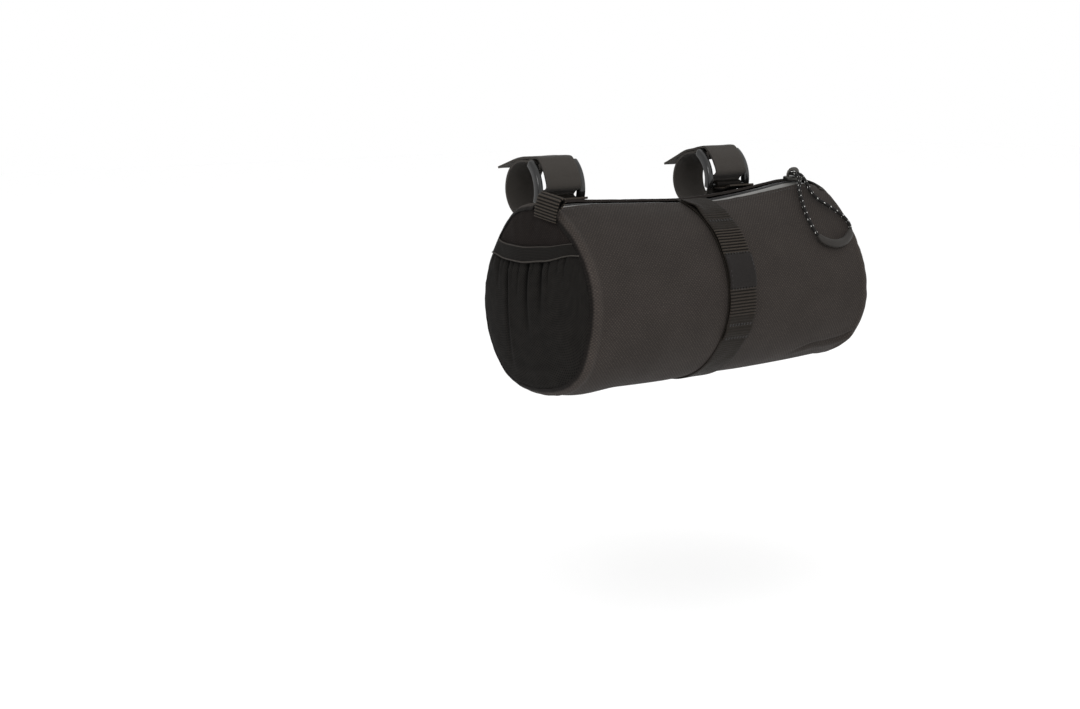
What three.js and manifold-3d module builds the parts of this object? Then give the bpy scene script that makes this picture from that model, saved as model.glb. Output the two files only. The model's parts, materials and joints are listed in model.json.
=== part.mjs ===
// Handlebar roll bag: a soft drum with a zipped top, hung on a bar by two hook-and-loop straps.
// Millimetres, +Z up. The bar's axis is the X axis, -Y is the bag's front, X = 0 is its mid-length.
import * as THREE from 'three';
import Module from 'manifold-3d';
import { mergeVertices } from 'three/addons/utils/BufferGeometryUtils.js';

const wasm = await Module();
wasm.setup();

// Driving sizes
const bagLength = 217; // seam to seam
const seamRadius = 51.7; // mean inner radius at the end seams
const panelWall = 1.8;
const bodySwell = 1; // how far the middle stands out from the ends
const hangGap = 19.2; // from the bar axis to the drum's outer face
const hangAngle = 58.5; // slope from the bar axis down to the drum's axis
const clearance = 0.3; // gap between neighbouring pieces
const ridgeHeight = 8.2; // rise of the zip ridge at its highest
const ridgeAngle = 8;
const ridgeSpread = 24;
const endDome = 4; // how far an end panel bows out
const pocketWall = 1;
const pocketFullness = 2.6; // how far the mesh stands off the end panel
const gatherDepth = 0.9;
const gatherCount = 11;
const bandHeight = 9.6;
const bandWall = 1.4;
const zipOpening = 15.5; // width of the slot along the top
const zipAngle = 7.4; // middle of the slot, from the top towards the front
const tapeWall = 1;
const tapeHidden = 4; // how far a tape runs in under the panel
const coilWidth = 3.6;
const coilHeight = 1.6;
const sliderLength = 12;
const sliderWidth = 8;
const sliderHeight = 2.6;
const sliderFromEnd = 20.5; // middle of the slider from the end seam
const bridgeWall = 1.3;
const bridgeRise = 4;
const bridgeSpan = 8.4;
const cordDiameter = 2.2;
const gripWidth = 5.2;
const gripHeight = 4.6;
const webbingWidth = 20.5;
const webbingWall = 1;
const webbingAlong = 0;
const webbingEnd = 206; // angle where the webbing runs out under the drum
const loopLift = 0.6; // how far the upper webbing stands off between bar tacks
const labelHeight = 18.5;
const labelWall = 1;
const barRadius = 15.9;
const strapWidth = 25;
const strapWall = 1.3;
const tailLength = 21;
const crossbarRadius = 1.3;
const buckleArm = 4.4;
const buckleDepth = 4.6;
const strapPlay = 0.4; // room beside a strap in its buckle
const tabWidth = 20;
const tabWall = 1;
const grabWidth = 20;
const grabRise = 10.6; // height of the grab tab over the seam
const grabLap = 4.4; // its leg down the end panel
const grabGap = 3.6; // inside width of its fold
const grabAngle = 14.7;
const grabLean = -5.7; // its own lean to the front at that seam
const garageLength = 9;
const garageWall = 1;

const halfLength = bagLength / 2;
const radians = Math.PI / 180;
const hangDistance = seamRadius + panelWall + hangGap;
const axisY = -hangDistance * Math.cos(hangAngle * radians);
const axisZ = -hangDistance * Math.sin(hangAngle * radians);
const sliderAlong = halfLength - sliderFromEnd;
const buckleReach = barRadius + strapWall + tabWall + crossbarRadius + 3 * clearance; // crossbar centres

// Cross-section of the drum: radius as a share of the seam radius, angle from the top towards the front
const sectionRows = [
  { angle: 0, left: 1.0, middle: 1, right: 1.0 },
  { angle: 30, left: 0.983, middle: 1, right: 0.985 },
  { angle: 62, left: 0.992, middle: 1, right: 0.965 },
  { angle: 88, left: 0.995, middle: 1.008, right: 1.01 },
  { angle: 112, left: 0.985, middle: 1.01, right: 1.06 },
  { angle: 134, left: 1.03, middle: 1.005, right: 1.06 },
  { angle: 175, left: 0.97, middle: 1.012, right: 0.96 },
  { angle: 216, left: 1.055, middle: 1, right: 1.03 },
  { angle: 262, left: 1.0, middle: 1, right: 1.0 },
  { angle: 308, left: 0.95, middle: 0.985, right: 0.965 },
  { angle: 342, left: 1.036, middle: 0.995, right: 0.99 },
];

// Rise of the zip ridge along the bag: place as a share of half the length,
// rise as a share of the ridge height
const ridgeRows = [
  { along: -1, rise: 0.25 },
  { along: -0.8, rise: 0.36 },
  { along: -0.5, rise: 0.14 },
  { along: -0.1, rise: -0.06 },
  { along: 0.16, rise: -0.1 },
  { along: 0.3, rise: 0.04 },
  { along: 0.47, rise: 0.32 },
  { along: 0.65, rise: 0.68 },
  { along: 0.83, rise: 1 },
  { along: 0.94, rise: 0.66 },
  { along: 1, rise: 0.4 },
];

// Soft dents, and a bulge where the depth is below zero: place and length as shares of half the length, depth as a share of the seam radius
const dentRows = [
  { along: 0.78, angle: 137, length: 0.22, spread: 7, slant: -46, depth: 0.036 },
  { along: -0.5, angle: 62, length: 0.26, spread: 20, slant: 20, depth: 0.016 },
  { along: 0.42, angle: 80, length: 0.12, spread: 34, slant: 10, depth: 0.018 },
  { along: -0.3, angle: 128, length: 0.24, spread: 16, slant: -25, depth: 0.016 },
  { along: 0.66, angle: 58, length: 0.18, spread: 14, slant: -40, depth: 0.02 },
  { along: -0.84, angle: 168, length: 0.13, spread: 26, slant: 0, depth: -0.06 },
];
const waistDepth = 0.9; // how far the webbing draws the drum in
const waistWidth = 15;

// Upper edge of the mesh pocket's band across the end panel: shares of the seam radius from the drum's axis,
// and the band's height there as a share of its full height
const bandRows = [
  { across: -0.74, height: 0.68, tall: 1 },
  { across: -0.42, height: 0.637, tall: 1 },
  { across: -0.08, height: 0.625, tall: 1 },
  { across: 0.3, height: 0.65, tall: 0.93 },
  { across: 0.72, height: 0.705, tall: 0.76 },
];

// Bar straps: place of the middle as a share of half the bag's length, turn about the bar and the fold's
// angle in the buckle
const strapRows = [
  { name: 'left', along: -0.703, turn: -2.5, fold: 6 },
  { name: 'right', along: 0.516, turn: 5, fold: 6 },
];
const crossbarHigh = 44; // degrees from the front, up round the bar
const crossbarLow = -14;
const armTop = 51;
const armBottom = -16;

// Route of the zip puller's cord, from the slider's bridge round the grip and back
const cordRoute = [
  [86.5, -44.9, 3.0],
  [86.3, -50.9, 2.2],
  [83.8, -56.2, -0.6],
  [77.9, -61.8, -6.0],
  [73.2, -69.4, -13.2],
  [70.4, -74.5, -18.5],
  [69.3, -79.0, -23.8],
  [69.0, -82.8, -28.8],
  [70.1, -85.9, -32.8],
  [72.9, -87.4, -35.5],
  [77.1, -88.5, -37.3],
  [82.5, -89.2, -38.2],
  [88.1, -88.9, -37.7],
  [93.5, -87.8, -35.8],
  [98.2, -85.6, -32.6],
  [101.2, -82.4, -28.6],
  [100.6, -78.4, -23.9],
  [96.8, -75.2, -19.7],
  [91.8, -72.6, -16.1],
  [87.4, -69.4, -12.6],
  [85.4, -64.6, -7.8],
  [87.4, -57.6, -1.2],
  [89.5, -50.9, 2.3],
  [89.4, -44.9, 3.1],
];
const gripStart = 0.385; // shares of the cord's length
const gripEnd = 0.615;

// Finishes
const finish = (color, roughness, metalness = 0) =>
  new THREE.MeshStandardMaterial({ color, roughness, metalness });

const group = new THREE.Group();

function addPiece(name, geometry, material) {
  const mesh = new THREE.Mesh(geometry, material);
  mesh.name = name;
  group.add(mesh);
  return mesh;
}

// Value of a table's column at a place, on a smooth curve through the rows
function tableValue(rows, key, column, at, period = 0) {
  const count = rows.length;
  const row = (i) => {
    if (!period) return { at: rows[Math.min(Math.max(i, 0), count - 1)][key],
      value: rows[Math.min(Math.max(i, 0), count - 1)][column] };
    const turns = Math.floor(i / count);
    const entry = rows[i - turns * count];
    return { at: entry[key] + turns * period, value: entry[column] };
  };
  if (!period && at <= rows[0][key]) return rows[0][column];
  if (!period && at >= rows[count - 1][key]) return rows[count - 1][column];
  let i = 0;
  while (i < count - 1 && row(i + 1).at <= at) i += 1;
  const [a, b, c, d] = [row(i - 1), row(i), row(i + 1), row(i + 2)];
  const span = c.at - b.at;
  const slopeB = (c.value - a.value) / (c.at - a.at || 1);
  const slopeC = (d.value - b.value) / (d.at - b.at || 1);
  const t = (at - b.at) / span;
  const t2 = t * t;
  const t3 = t2 * t;
  return (2 * t3 - 3 * t2 + 1) * b.value + (t3 - 2 * t2 + t) * span * slopeB
    + (3 * t2 - 2 * t3) * c.value + (t3 - t2) * span * slopeC;
}

const wrapAngle = (angle) => ((angle % 360) + 360) % 360;
const signedAngle = (angle) => wrapAngle(angle + 180) - 180;
const mix = THREE.MathUtils.lerp;

// Radius of the drum's inner face
function drumRadius(x, angle) {
  const along = x / halfLength;
  const end = along < 0 ? 'left' : 'right';
  const around = wrapAngle(angle);
  const middleShare = tableValue(sectionRows, 'angle', 'middle', around, 360);
  const endShare = tableValue(sectionRows, 'angle', end, around, 360);
  const rise = ridgeHeight * tableValue(ridgeRows, 'along', 'rise', along);
  const ridge = rise * Math.exp(-(((signedAngle(angle) - ridgeAngle) / ridgeSpread) ** 2));
  const swell = bodySwell * (1 - along ** 8);
  const pull = around > 20 ? 1 : around / 20;
  let dent = waistDepth * Math.exp(-(((x - webbingAlong) / waistWidth) ** 2)) * pull;
  for (const row of dentRows) {
    const step = (along - row.along) / row.length;
    const turn = (signedAngle(angle - row.angle) - row.slant * (along - row.along)) / row.spread;
    dent += seamRadius * row.depth * Math.exp(-step * step - turn * turn) * (1 - along ** 8);
  }
  return seamRadius * mix(middleShare, endShare, along * along) + ridge + swell - dent;
}

const outerRadius = (x, angle) => drumRadius(x, angle) + panelWall;

function drumPoint(x, angle, radius) {
  const turn = angle * radians;
  return new THREE.Vector3(x, axisY - radius * Math.sin(turn), axisZ + radius * Math.cos(turn));
}

const steps = (from, to, count) => Array.from({ length: count + 1 }, (_, i) => mix(from, to, i / count));
const degreesFor = (arc) => arc / (seamRadius * radians);

function solidFrom(points, triangles) {
  const geometry = new THREE.BufferGeometry();
  const numbers = points.flatMap((p) => [p.x, p.y, p.z]);
  geometry.setAttribute('position', new THREE.Float32BufferAttribute(numbers, 3));
  geometry.setIndex(triangles.flat());
  geometry.computeVertexNormals();
  return geometry;
}

// Closed slab between an outer and an inner grid of points with the same rows and columns
function slab(outer, inner) {
  const rows = outer.length;
  const columns = outer[0].length;
  const points = [...outer.flat(), ...inner.flat()];
  const triangles = [];
  const quad = (a, b, c, d) => triangles.push([a, b, c], [a, c, d]);
  const o = (i, j) => i * columns + j;
  const n = (i, j) => rows * columns + i * columns + j;
  for (let i = 0; i < rows - 1; i += 1) {
    for (let j = 0; j < columns - 1; j += 1) {
      quad(o(i, j), o(i, j + 1), o(i + 1, j + 1), o(i + 1, j));
      quad(n(i, j), n(i + 1, j), n(i + 1, j + 1), n(i, j + 1));
    }
  }
  const lastRow = rows - 1;
  const lastColumn = columns - 1;
  for (let j = 0; j < lastColumn; j += 1) {
    quad(o(0, j + 1), o(0, j), n(0, j), n(0, j + 1));
    quad(o(lastRow, j), o(lastRow, j + 1), n(lastRow, j + 1), n(lastRow, j));
  }
  for (let i = 0; i < lastRow; i += 1) {
    quad(o(i, 0), o(i + 1, 0), n(i + 1, 0), n(i, 0));
    quad(o(i + 1, lastColumn), o(i, lastColumn), n(i, lastColumn), n(i + 1, lastColumn));
  }
  return solidFrom(points, triangles);
}

// Strip of cloth that lies round the drum: lift is the height of its lower face over the drum's inner face
function drumStrip(xs, angles, lift, wall) {
  const layer = (extra) => xs.map((x) => angles.map((angle) =>
    drumPoint(x, angle, drumRadius(x, angle) + lift(x, angle) + extra)));
  return slab(layer(wall), layer(0));
}

const webbingXs = steps(webbingAlong - webbingWidth / 2, webbingAlong + webbingWidth / 2, 2);

// Angles of the zip's slot and parts
const slotFront = zipAngle + degreesFor(zipOpening / 2);
const slotRear = zipAngle - degreesFor(zipOpening / 2);
const coilHalf = degreesFor(coilWidth / 2);
const coilGap = degreesFor(clearance);
const hidden = degreesFor(tapeHidden);

// Stations along the drum, shared by all that lies on it
const stations = [...steps(-halfLength, webbingXs[0], 8), ...webbingXs.slice(1, -1),
  ...steps(webbingXs[2], halfLength, 8)];

const zipEnd = halfLength - panelWall - clearance;
const zipStations = stations.map((x) => THREE.MathUtils.clamp(x, -zipEnd, zipEnd));

function mainPanel() {
  const angles = [slotFront, ...steps(slotFront + hidden, 360 + slotRear - hidden, 39), 360 + slotRear];
  return drumStrip(stations, angles, () => 0, panelWall);
}

function endRim(side, angle) {
  return drumRadius(side * halfLength, angle) - clearance;
}

// Outer face of an end panel at a place across (towards the front) and up from the drum's axis
function endFace(across, up) {
  const radius = Math.hypot(across, up);
  const angle = Math.atan2(across, up) / radians;
  const rim = seamRadius * tableValue(sectionRows, 'angle', 'left', wrapAngle(angle), 360);
  const share = Math.min(radius / rim, 1);
  return endDome * (1 - share * share);
}

function endPanel(side) {
  const ringShares = [0.34, 0.66, 0.9, 1];
  const segments = 36;
  const points = [];
  const triangles = [];
  const layers = [0, -panelWall];
  const ringStart = (layer, ring) => layer * (1 + ringShares.length * segments) + 1 + ring * segments;
  layers.forEach((inset) => {
    points.push(new THREE.Vector3(side * (halfLength + endDome + inset), axisY, axisZ));
    for (const share of ringShares) {
      for (let j = 0; j < segments; j += 1) {
        const angle = (360 * j) / segments;
        const x = side * (halfLength + endDome * (1 - share * share) + inset);
        points.push(drumPoint(x, angle, endRim(side, angle) * share));
      }
    }
  });
  const add = (a, b, c) => triangles.push(side > 0 ? [a, c, b] : [a, b, c]);
  const last = ringShares.length - 1;
  for (let j = 0; j < segments; j += 1) {
    const k = (j + 1) % segments;
    [0, 1].forEach((layer) => {
      const centre = layer * (1 + ringShares.length * segments);
      const face = layer === 0 ? add : (a, b, c) => add(a, c, b);
      face(centre, ringStart(layer, 0) + k, ringStart(layer, 0) + j);
      for (let ring = 0; ring < last; ring += 1) {
        const a = ringStart(layer, ring) + j;
        const b = ringStart(layer, ring) + k;
        const c = ringStart(layer, ring + 1) + k;
        const d = ringStart(layer, ring + 1) + j;
        face(a, b, c);
        face(a, c, d);
      }
    });
    const a = ringStart(0, last) + j;
    const b = ringStart(0, last) + k;
    const c = ringStart(1, last) + k;
    const d = ringStart(1, last) + j;
    add(a, b, c);
    add(a, c, d);
  }
  return solidFrom(points, triangles);
}

// Point on the left end, a given height out from the end panel's face
function endPoint(across, up, height) {
  return new THREE.Vector3(-halfLength - endFace(across, up) - height, axisY - across, axisZ + up);
}

// Height over the drum's axis of a line down the band: 0 is its upper edge and 1 its lower edge
function bandLine(across, down) {
  const place = across / seamRadius;
  const top = seamRadius * tableValue(bandRows, 'across', 'height', place);
  return top - down * bandHeight * tableValue(bandRows, 'across', 'tall', place);
}

// Place across the end where such a line meets the panel's rim: side is -1 at the rear and 1 at the front
function bandEnd(side, down) {
  let across = side * seamRadius * 0.75;
  for (let i = 0; i < 10; i += 1) {
    const up = bandLine(across, down);
    const rim = endRim(-1, Math.atan2(across, up) / radians) - clearance;
    across = side * Math.sqrt(rim ** 2 - up ** 2);
  }
  return across;
}

// Height of the gathered mesh over the end panel: fullest under the band, nothing at the seam
function meshHeight(share, down) {
  const edge = Math.min(1, 6 * Math.min(down, 1 - down, share, 1 - share) + 0.15);
  const fullness = pocketFullness * Math.sin(Math.PI * Math.min(1, 0.18 + 0.82 * down)) * edge;
  const wave = (1 + Math.cos(2 * Math.PI * gatherCount * share)) / 2;
  const gather = gatherDepth * (1 - down) ** 1.5 * edge * wave;
  return clearance + fullness + gather;
}

function meshPocket() {
  const columns = gatherCount * 4;
  const drops = [0, 0.14, 0.36, 0.6, 0.82, 1];
  const [back, front] = [bandEnd(-1, 1), bandEnd(1, 1)];
  const backAngle = 360 + Math.atan2(back, bandLine(back, 1)) / radians;
  const frontAngle = Math.atan2(front, bandLine(front, 1)) / radians;
  const layer = (extra) => drops.map((down) => steps(0.985, 0.015, columns).map((share) => {
    const across = mix(back, front, share);
    const top = bandLine(across, 1) - clearance;
    const angle = mix(backAngle, frontAngle, share);
    const rim = endRim(-1, angle) - clearance;
    const rimAcross = rim * Math.sin(angle * radians);
    const rimUp = rim * Math.cos(angle * radians);
    const a = mix(across, rimAcross, down);
    const b = mix(top, rimUp, down);
    return endPoint(a, b, meshHeight(share, down) + extra);
  }));
  return slab(layer(pocketWall), layer(0));
}

function pocketBand() {
  const columns = 14;
  const layer = (extra) => [0, 0.5, 1].map((down) => steps(1, 0, columns).map((share) => {
    const across = mix(bandEnd(-1, down), bandEnd(1, down), share);
    const bow = Math.sin(Math.PI * share) * 0.8;
    return endPoint(across, bandLine(across, down), clearance + bow + extra);
  }));
  return slab(layer(bandWall), layer(0));
}

// Zip: two tapes that run in under the panel's edges, and the coil between them
const tapeFront = [...steps(zipAngle + coilHalf, slotFront, 3), slotFront + hidden];
const tapeRear = [slotRear - hidden, ...steps(slotRear, zipAngle - coilHalf, 3)];

function zipTape(angles) {
  return drumStrip(zipStations, angles, () => -clearance - tapeWall, tapeWall);
}

function zipCoil() {
  const xs = zipStations;
  const half = coilHalf - coilGap;
  const profile = (angle) => 0.45 + 0.55 * Math.cos(((angle - zipAngle) / coilHalf) * Math.PI / 2);
  const angles = steps(zipAngle - half, zipAngle + half, 4);
  const low = -clearance - tapeWall;
  const top = (x, angle) => drumRadius(x, angle) + low + coilHeight * profile(angle);
  const outer = xs.map((x) => angles.map((a) => drumPoint(x, a, top(x, a))));
  const inner = xs.map((x) => angles.map((a) => drumPoint(x, a, drumRadius(x, a) + low)));
  return slab(outer, inner);
}

const aboveCoil = () => -clearance - tapeWall + coilHeight + clearance;

function zipGarage() {
  const xs = stations.slice(-2);
  xs[0] = Math.max(xs[0], halfLength - garageLength);
  const angles = steps(slotRear - hidden / 2, slotFront + hidden / 2, 6);
  return drumStrip(xs, angles, () => panelWall + clearance, garageWall);
}

function toManifold(geometry) {
  const plain = geometry.clone();
  plain.deleteAttribute('normal');
  plain.deleteAttribute('uv');
  const merged = mergeVertices(plain, 1e-4);
  return new wasm.Manifold(new wasm.Mesh({
    numProp: 3,
    vertProperties: new Float32Array(merged.attributes.position.array),
    triVerts: new Uint32Array(merged.index.array),
  }));
}

function fromManifold(solid) {
  const mesh = solid.getMesh();
  const geometry = new THREE.BufferGeometry();
  geometry.setAttribute('position', new THREE.BufferAttribute(new Float32Array(mesh.vertProperties), 3));
  geometry.setIndex(new THREE.BufferAttribute(new Uint32Array(mesh.triVerts), 1));
  geometry.computeVertexNormals();
  return geometry;
}

// Outline in the Y-Z plane, pushed along X
function pushAlongX(shape, width) {
  const geometry = new THREE.ExtrudeGeometry(shape, { depth: width, bevelEnabled: false, curveSegments: 8 });
  geometry.translate(0, 0, -width / 2);
  const turn = new THREE.Matrix4().makeBasis(
    new THREE.Vector3(0, 1, 0), new THREE.Vector3(0, 0, 1), new THREE.Vector3(1, 0, 0));
  return geometry.applyMatrix4(turn);
}

// Closed outline of a ribbon of the given wall that follows a line of points
function ribbonShape(line, wall) {
  const left = [];
  const right = [];
  line.forEach((point, i) => {
    const before = line[Math.max(i - 1, 0)];
    const after = line[Math.min(i + 1, line.length - 1)];
    const direction = after.clone().sub(before).normalize();
    const normal = new THREE.Vector2(-direction.y, direction.x).multiplyScalar(wall / 2);
    left.push(point.clone().add(normal));
    right.push(point.clone().sub(normal));
  });
  return new THREE.Shape([...left, ...right.reverse()]);
}

function smoothLine(points, count) {
  const places = points.map((p) => new THREE.Vector3(p.x, p.y, 0));
  const curve = new THREE.CatmullRomCurve3(places, false, 'centripetal');
  return curve.getSpacedPoints(count).map((p) => new THREE.Vector2(p.x, p.y));
}

function sliderFrame() {
  const top = outerRadius(sliderAlong, zipAngle) - panelWall + aboveCoil();
  const rise = drumRadius(sliderAlong + 3, zipAngle) - drumRadius(sliderAlong - 3, zipAngle);
  return new THREE.Matrix4()
    .setPosition(drumPoint(sliderAlong, zipAngle, top))
    .multiply(new THREE.Matrix4().makeRotationX(zipAngle * radians))
    .multiply(new THREE.Matrix4().makeRotationY(-Math.atan2(rise, 6)));
}

function zipSlider() {
  const half = sliderLength / 2;
  const nose = sliderWidth * 0.3;
  const outline = new THREE.Shape();
  outline.moveTo(-half, -nose);
  outline.quadraticCurveTo(-half * 0.2, -sliderWidth / 2, half * 0.5, -sliderWidth / 2);
  outline.quadraticCurveTo(half, -sliderWidth / 2, half, -sliderWidth * 0.2);
  outline.lineTo(half, sliderWidth * 0.2);
  outline.quadraticCurveTo(half, sliderWidth / 2, half * 0.5, sliderWidth / 2);
  outline.quadraticCurveTo(-half * 0.2, sliderWidth / 2, -half, nose);
  const plate = new THREE.ExtrudeGeometry(outline, {
    depth: sliderHeight - 0.8, bevelEnabled: true, bevelThickness: 0.4, bevelSize: 0.4, bevelOffset: -0.4,
    bevelSegments: 1, curveSegments: 4,
  });
  plate.translate(0, 0, 0.4);
  const foot = bridgeSpan / 2;
  const archPoint = (across, up) => new THREE.Vector3(foot * across, 0, sliderHeight + bridgeRise * up);
  const arch = new THREE.CatmullRomCurve3([
    archPoint(-1, -0.3), archPoint(-0.98, 0.6), archPoint(-0.6, 1),
    archPoint(0.6, 1), archPoint(0.98, 0.6), archPoint(1, -0.3),
  ]);
  const bar = new THREE.Shape();
  bar.absellipse(0, 0, bridgeWall / 2, bridgeWall, 0, Math.PI * 2);
  const bridge = new THREE.ExtrudeGeometry(bar, { steps: 12, extrudePath: arch, curveSegments: 4 });
  return fromManifold(toManifold(plate).add(toManifold(bridge))).applyMatrix4(sliderFrame());
}

// Cord of the zip puller and the moulded grip round its middle
const cordPoints = cordRoute.map((p) => new THREE.Vector3(...p));
const cordCurve = new THREE.CatmullRomCurve3(cordPoints, false, 'centripetal');

function ringShape(width, height, sides) {
  const shape = new THREE.Shape();
  steps(0, 360, sides).slice(0, -1).forEach((angle, i) => {
    const x = (width / 2) * Math.cos(angle * radians);
    const y = (height / 2) * Math.sin(angle * radians);
    if (i === 0) shape.moveTo(x, y);
    else shape.lineTo(x, y);
  });
  shape.closePath();
  return shape;
}

function pullerCord() {
  const shape = ringShape(cordDiameter, cordDiameter, 8);
  return new THREE.ExtrudeGeometry(shape, { steps: 42, extrudePath: cordCurve });
}

function pullGrip() {
  const part = new THREE.CatmullRomCurve3(steps(gripStart, gripEnd, 12).map((s) => cordCurve.getPointAt(s)));
  const shape = ringShape(gripHeight, gripWidth, 12);
  shape.holes.push(ringShape(cordDiameter + 2 * clearance, cordDiameter + 2 * clearance, 8));
  return new THREE.ExtrudeGeometry(shape, { steps: 12, extrudePath: part });
}

// Front webbing: a base layer down the front and under the drum, and an upper layer of tacked loops
const tackAngles = [17, 41, 65, 86, 108, 117];

function loopHeight(angle) {
  let height = 0;
  for (let i = 0; i < tackAngles.length - 1; i += 1) {
    const [from, to] = [tackAngles[i], tackAngles[i + 1]];
    if (angle > from && angle < to) height = loopLift * Math.sin((Math.PI * (angle - from)) / (to - from));
  }
  return height;
}

const onPanel = panelWall + clearance;
const onBase = onPanel + webbingWall + clearance;
const onLoops = onBase + webbingWall + clearance;

function webbingBase() {
  return drumStrip(webbingXs, steps(zipAngle + coilHalf, webbingEnd, 36), () => onPanel, webbingWall);
}

function webbingLoops() {
  return drumStrip(webbingXs, steps(tackAngles[0] - 3, tackAngles[5] + 1.5, 34),
    (x, angle) => onBase + loopHeight(angle), webbingWall);
}

function labelPatch() {
  const from = tackAngles[2] + 0.5;
  const angles = steps(from, from + degreesFor(labelHeight), 6);
  return drumStrip(webbingXs, angles, (x, angle) => onLoops + loopHeight(angle), labelWall);
}

// Bar straps, buckles and their tabs, drawn round the bar: angle from the front, up over the bar
const barPoint = (angle, radius) =>
  new THREE.Vector2(-radius * Math.cos(angle * radians), radius * Math.sin(angle * radians));

function barStrap(row) {
  const inside = barRadius + clearance + strapWall / 2;
  const second = inside + strapWall + clearance;
  const wrap = crossbarRadius + clearance + strapWall / 2;
  const front = buckleReach + wrap + strapWall + clearance;
  const high = barPoint(crossbarHigh, buckleReach);
  const loop = steps(180, 360, 8).map((turn) => {
    const angle = (turn - crossbarHigh) * radians;
    return high.clone().add(new THREE.Vector2(Math.cos(angle) * wrap, Math.sin(angle) * wrap));
  });
  const line = [
    ...loop,
    ...[62, 76].map((a, i) => barPoint(a, mix(buckleReach + wrap, inside, (i + 1) / 2.2))),
    ...steps(92, 340, 22).map((a) => barPoint(a, inside)),
    barPoint(349, inside),
    barPoint(360 + row.fold - 6, inside + 2.6),
    barPoint(360 + row.fold - 3.5, front - 1.6),
    barPoint(360 + row.fold, front + 0.1),
    barPoint(360 + row.fold + 8, front + 0.2),
    ...steps(18, 52, 4).map((a) => barPoint(360 + a, front)),
    barPoint(360 + 66, mix(front, second, 0.55)),
    barPoint(360 + 80, mix(front, second, 0.9)),
    barPoint(360 + 93, second),
    barPoint(360 + 106, second),
  ];
  const off = new THREE.Vector2(0.95, -0.31);
  const last = line[line.length - 1];
  line.push(...[0.35, 0.7, 1].map((s) => last.clone().addScaledVector(off, tailLength * s)));
  return pushAlongX(ribbonShape(smoothLine(line, 72), strapWall), strapWidth);
}

function buckle() {
  const armX = strapWidth / 2 + clearance + strapPlay + buckleArm / 2;
  const low = buckleReach - buckleDepth / 2;
  const high = buckleReach + buckleDepth / 2;
  const outline = [
    ...steps(armBottom, armTop, 7).map((a) => barPoint(a, high)),
    barPoint(armTop + 4, buckleReach),
    ...steps(armTop, armBottom, 7).map((a) => barPoint(a, low)),
    barPoint(armBottom - 4, buckleReach),
  ];
  const arm = () => pushAlongX(new THREE.Shape(outline), buckleArm);
  const crossbar = (angle) => {
    const rod = new THREE.CylinderGeometry(crossbarRadius, crossbarRadius, 2 * armX, 12);
    rod.rotateZ(Math.PI / 2);
    const place = barPoint(angle, buckleReach);
    return rod.translate(0, place.x, place.y);
  };
  return fromManifold(toManifold(arm().translate(-armX, 0, 0))
    .add(toManifold(arm().translate(armX, 0, 0)))
    .add(toManifold(crossbar(crossbarHigh)))
    .add(toManifold(crossbar(crossbarLow))));
}

// Webbing tab from the zip's rear seam up over the buckle's lower crossbar
function strapTab(row) {
  const along = row.along * halfLength;
  const centre = barPoint(crossbarLow + row.turn, buckleReach);
  const wrap = crossbarRadius + clearance + tabWall / 2;
  const lie = (angle, extra) => {
    const under = Math.max(...[-1, 0, 1].map((side) => outerRadius(along + (side * tabWidth) / 2, angle)));
    const p = drumPoint(along, angle, under + clearance + tabWall / 2 + extra);
    return new THREE.Vector2(p.y, p.z);
  };
  const over = steps(-100, 180, 9).map((turn) => centre.clone().add(
    new THREE.Vector2(Math.cos(turn * radians) * wrap, Math.sin(turn * radians) * wrap)));
  const foot = slotRear - 3;
  const bend = lie(foot - 6, 0);
  const end = centre.x - wrap;
  const legThere = mix(over[0].y, bend.y, (over[0].x - end) / (over[0].x - bend.x));
  const line = [
    lie(foot, 0), lie(foot - 3, 0), bend,
    ...over,
    new THREE.Vector2(end, Math.max(centre.y - 0.8, legThere + tabWall + 2 * clearance)),
  ];
  return pushAlongX(ribbonShape(smoothLine(line, 26), tabWall), tabWidth).translate(along, 0, 0);
}

// Grab tab at the zip's left end: a loop of webbing that stands on the end seam and leans to the front
function grabTab() {
  const lean = grabAngle + grabLean;
  const seam = outerRadius(-halfLength, grabAngle);
  const aside = -(seam - grabLap) * Math.sin(grabLean * radians);
  const up = (seam - grabLap) * Math.cos(grabLean * radians);
  const places = steps(aside - grabWidth / 2, aside + grabWidth / 2, 6);
  const angleAt = (place, radius) => lean + Math.asin(place / radius) / radians;
  const bow = Math.max(...places.map((place) => {
    const angle = lean * radians + Math.atan2(place, up);
    const radius = Math.hypot(place, up);
    return endFace(radius * Math.sin(angle), radius * Math.cos(angle));
  }));
  const under = Math.max(...places.map((place) => {
    const radius = outerRadius(-halfLength + grabGap, angleAt(place, seam));
    return Math.sqrt(radius ** 2 - place ** 2) - up;
  }));
  const bend = (grabGap + tabWall) / 2;
  const outside = -(halfLength + bow + clearance + tabWall / 2);
  const middle = outside + bend;
  const top = grabLap + grabRise - tabWall / 2 - bend;
  const line = [
    new THREE.Vector2(outside, 0),
    new THREE.Vector2(outside, grabLap),
    new THREE.Vector2(outside, grabLap + grabRise * 0.4),
    ...steps(180, 0, 6).map((turn) =>
      new THREE.Vector2(middle + bend * Math.cos(turn * radians), top + bend * Math.sin(turn * radians))),
    new THREE.Vector2(-halfLength + tabWall / 2, under + clearance + tabWall / 2),
  ];
  const shape = ribbonShape(smoothLine(line, 20), tabWall);
  const geometry = new THREE.ExtrudeGeometry(shape, { depth: grabWidth, bevelEnabled: false });
  geometry.translate(0, 0, aside - grabWidth / 2);
  const turn = new THREE.Matrix4().makeBasis(
    new THREE.Vector3(1, 0, 0), new THREE.Vector3(0, 0, 1), new THREE.Vector3(0, -1, 0));
  geometry.applyMatrix4(turn);
  geometry.translate(0, 0, up);
  geometry.rotateX(lean * radians);
  return geometry.translate(0, axisY, axisZ);
}

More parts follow.
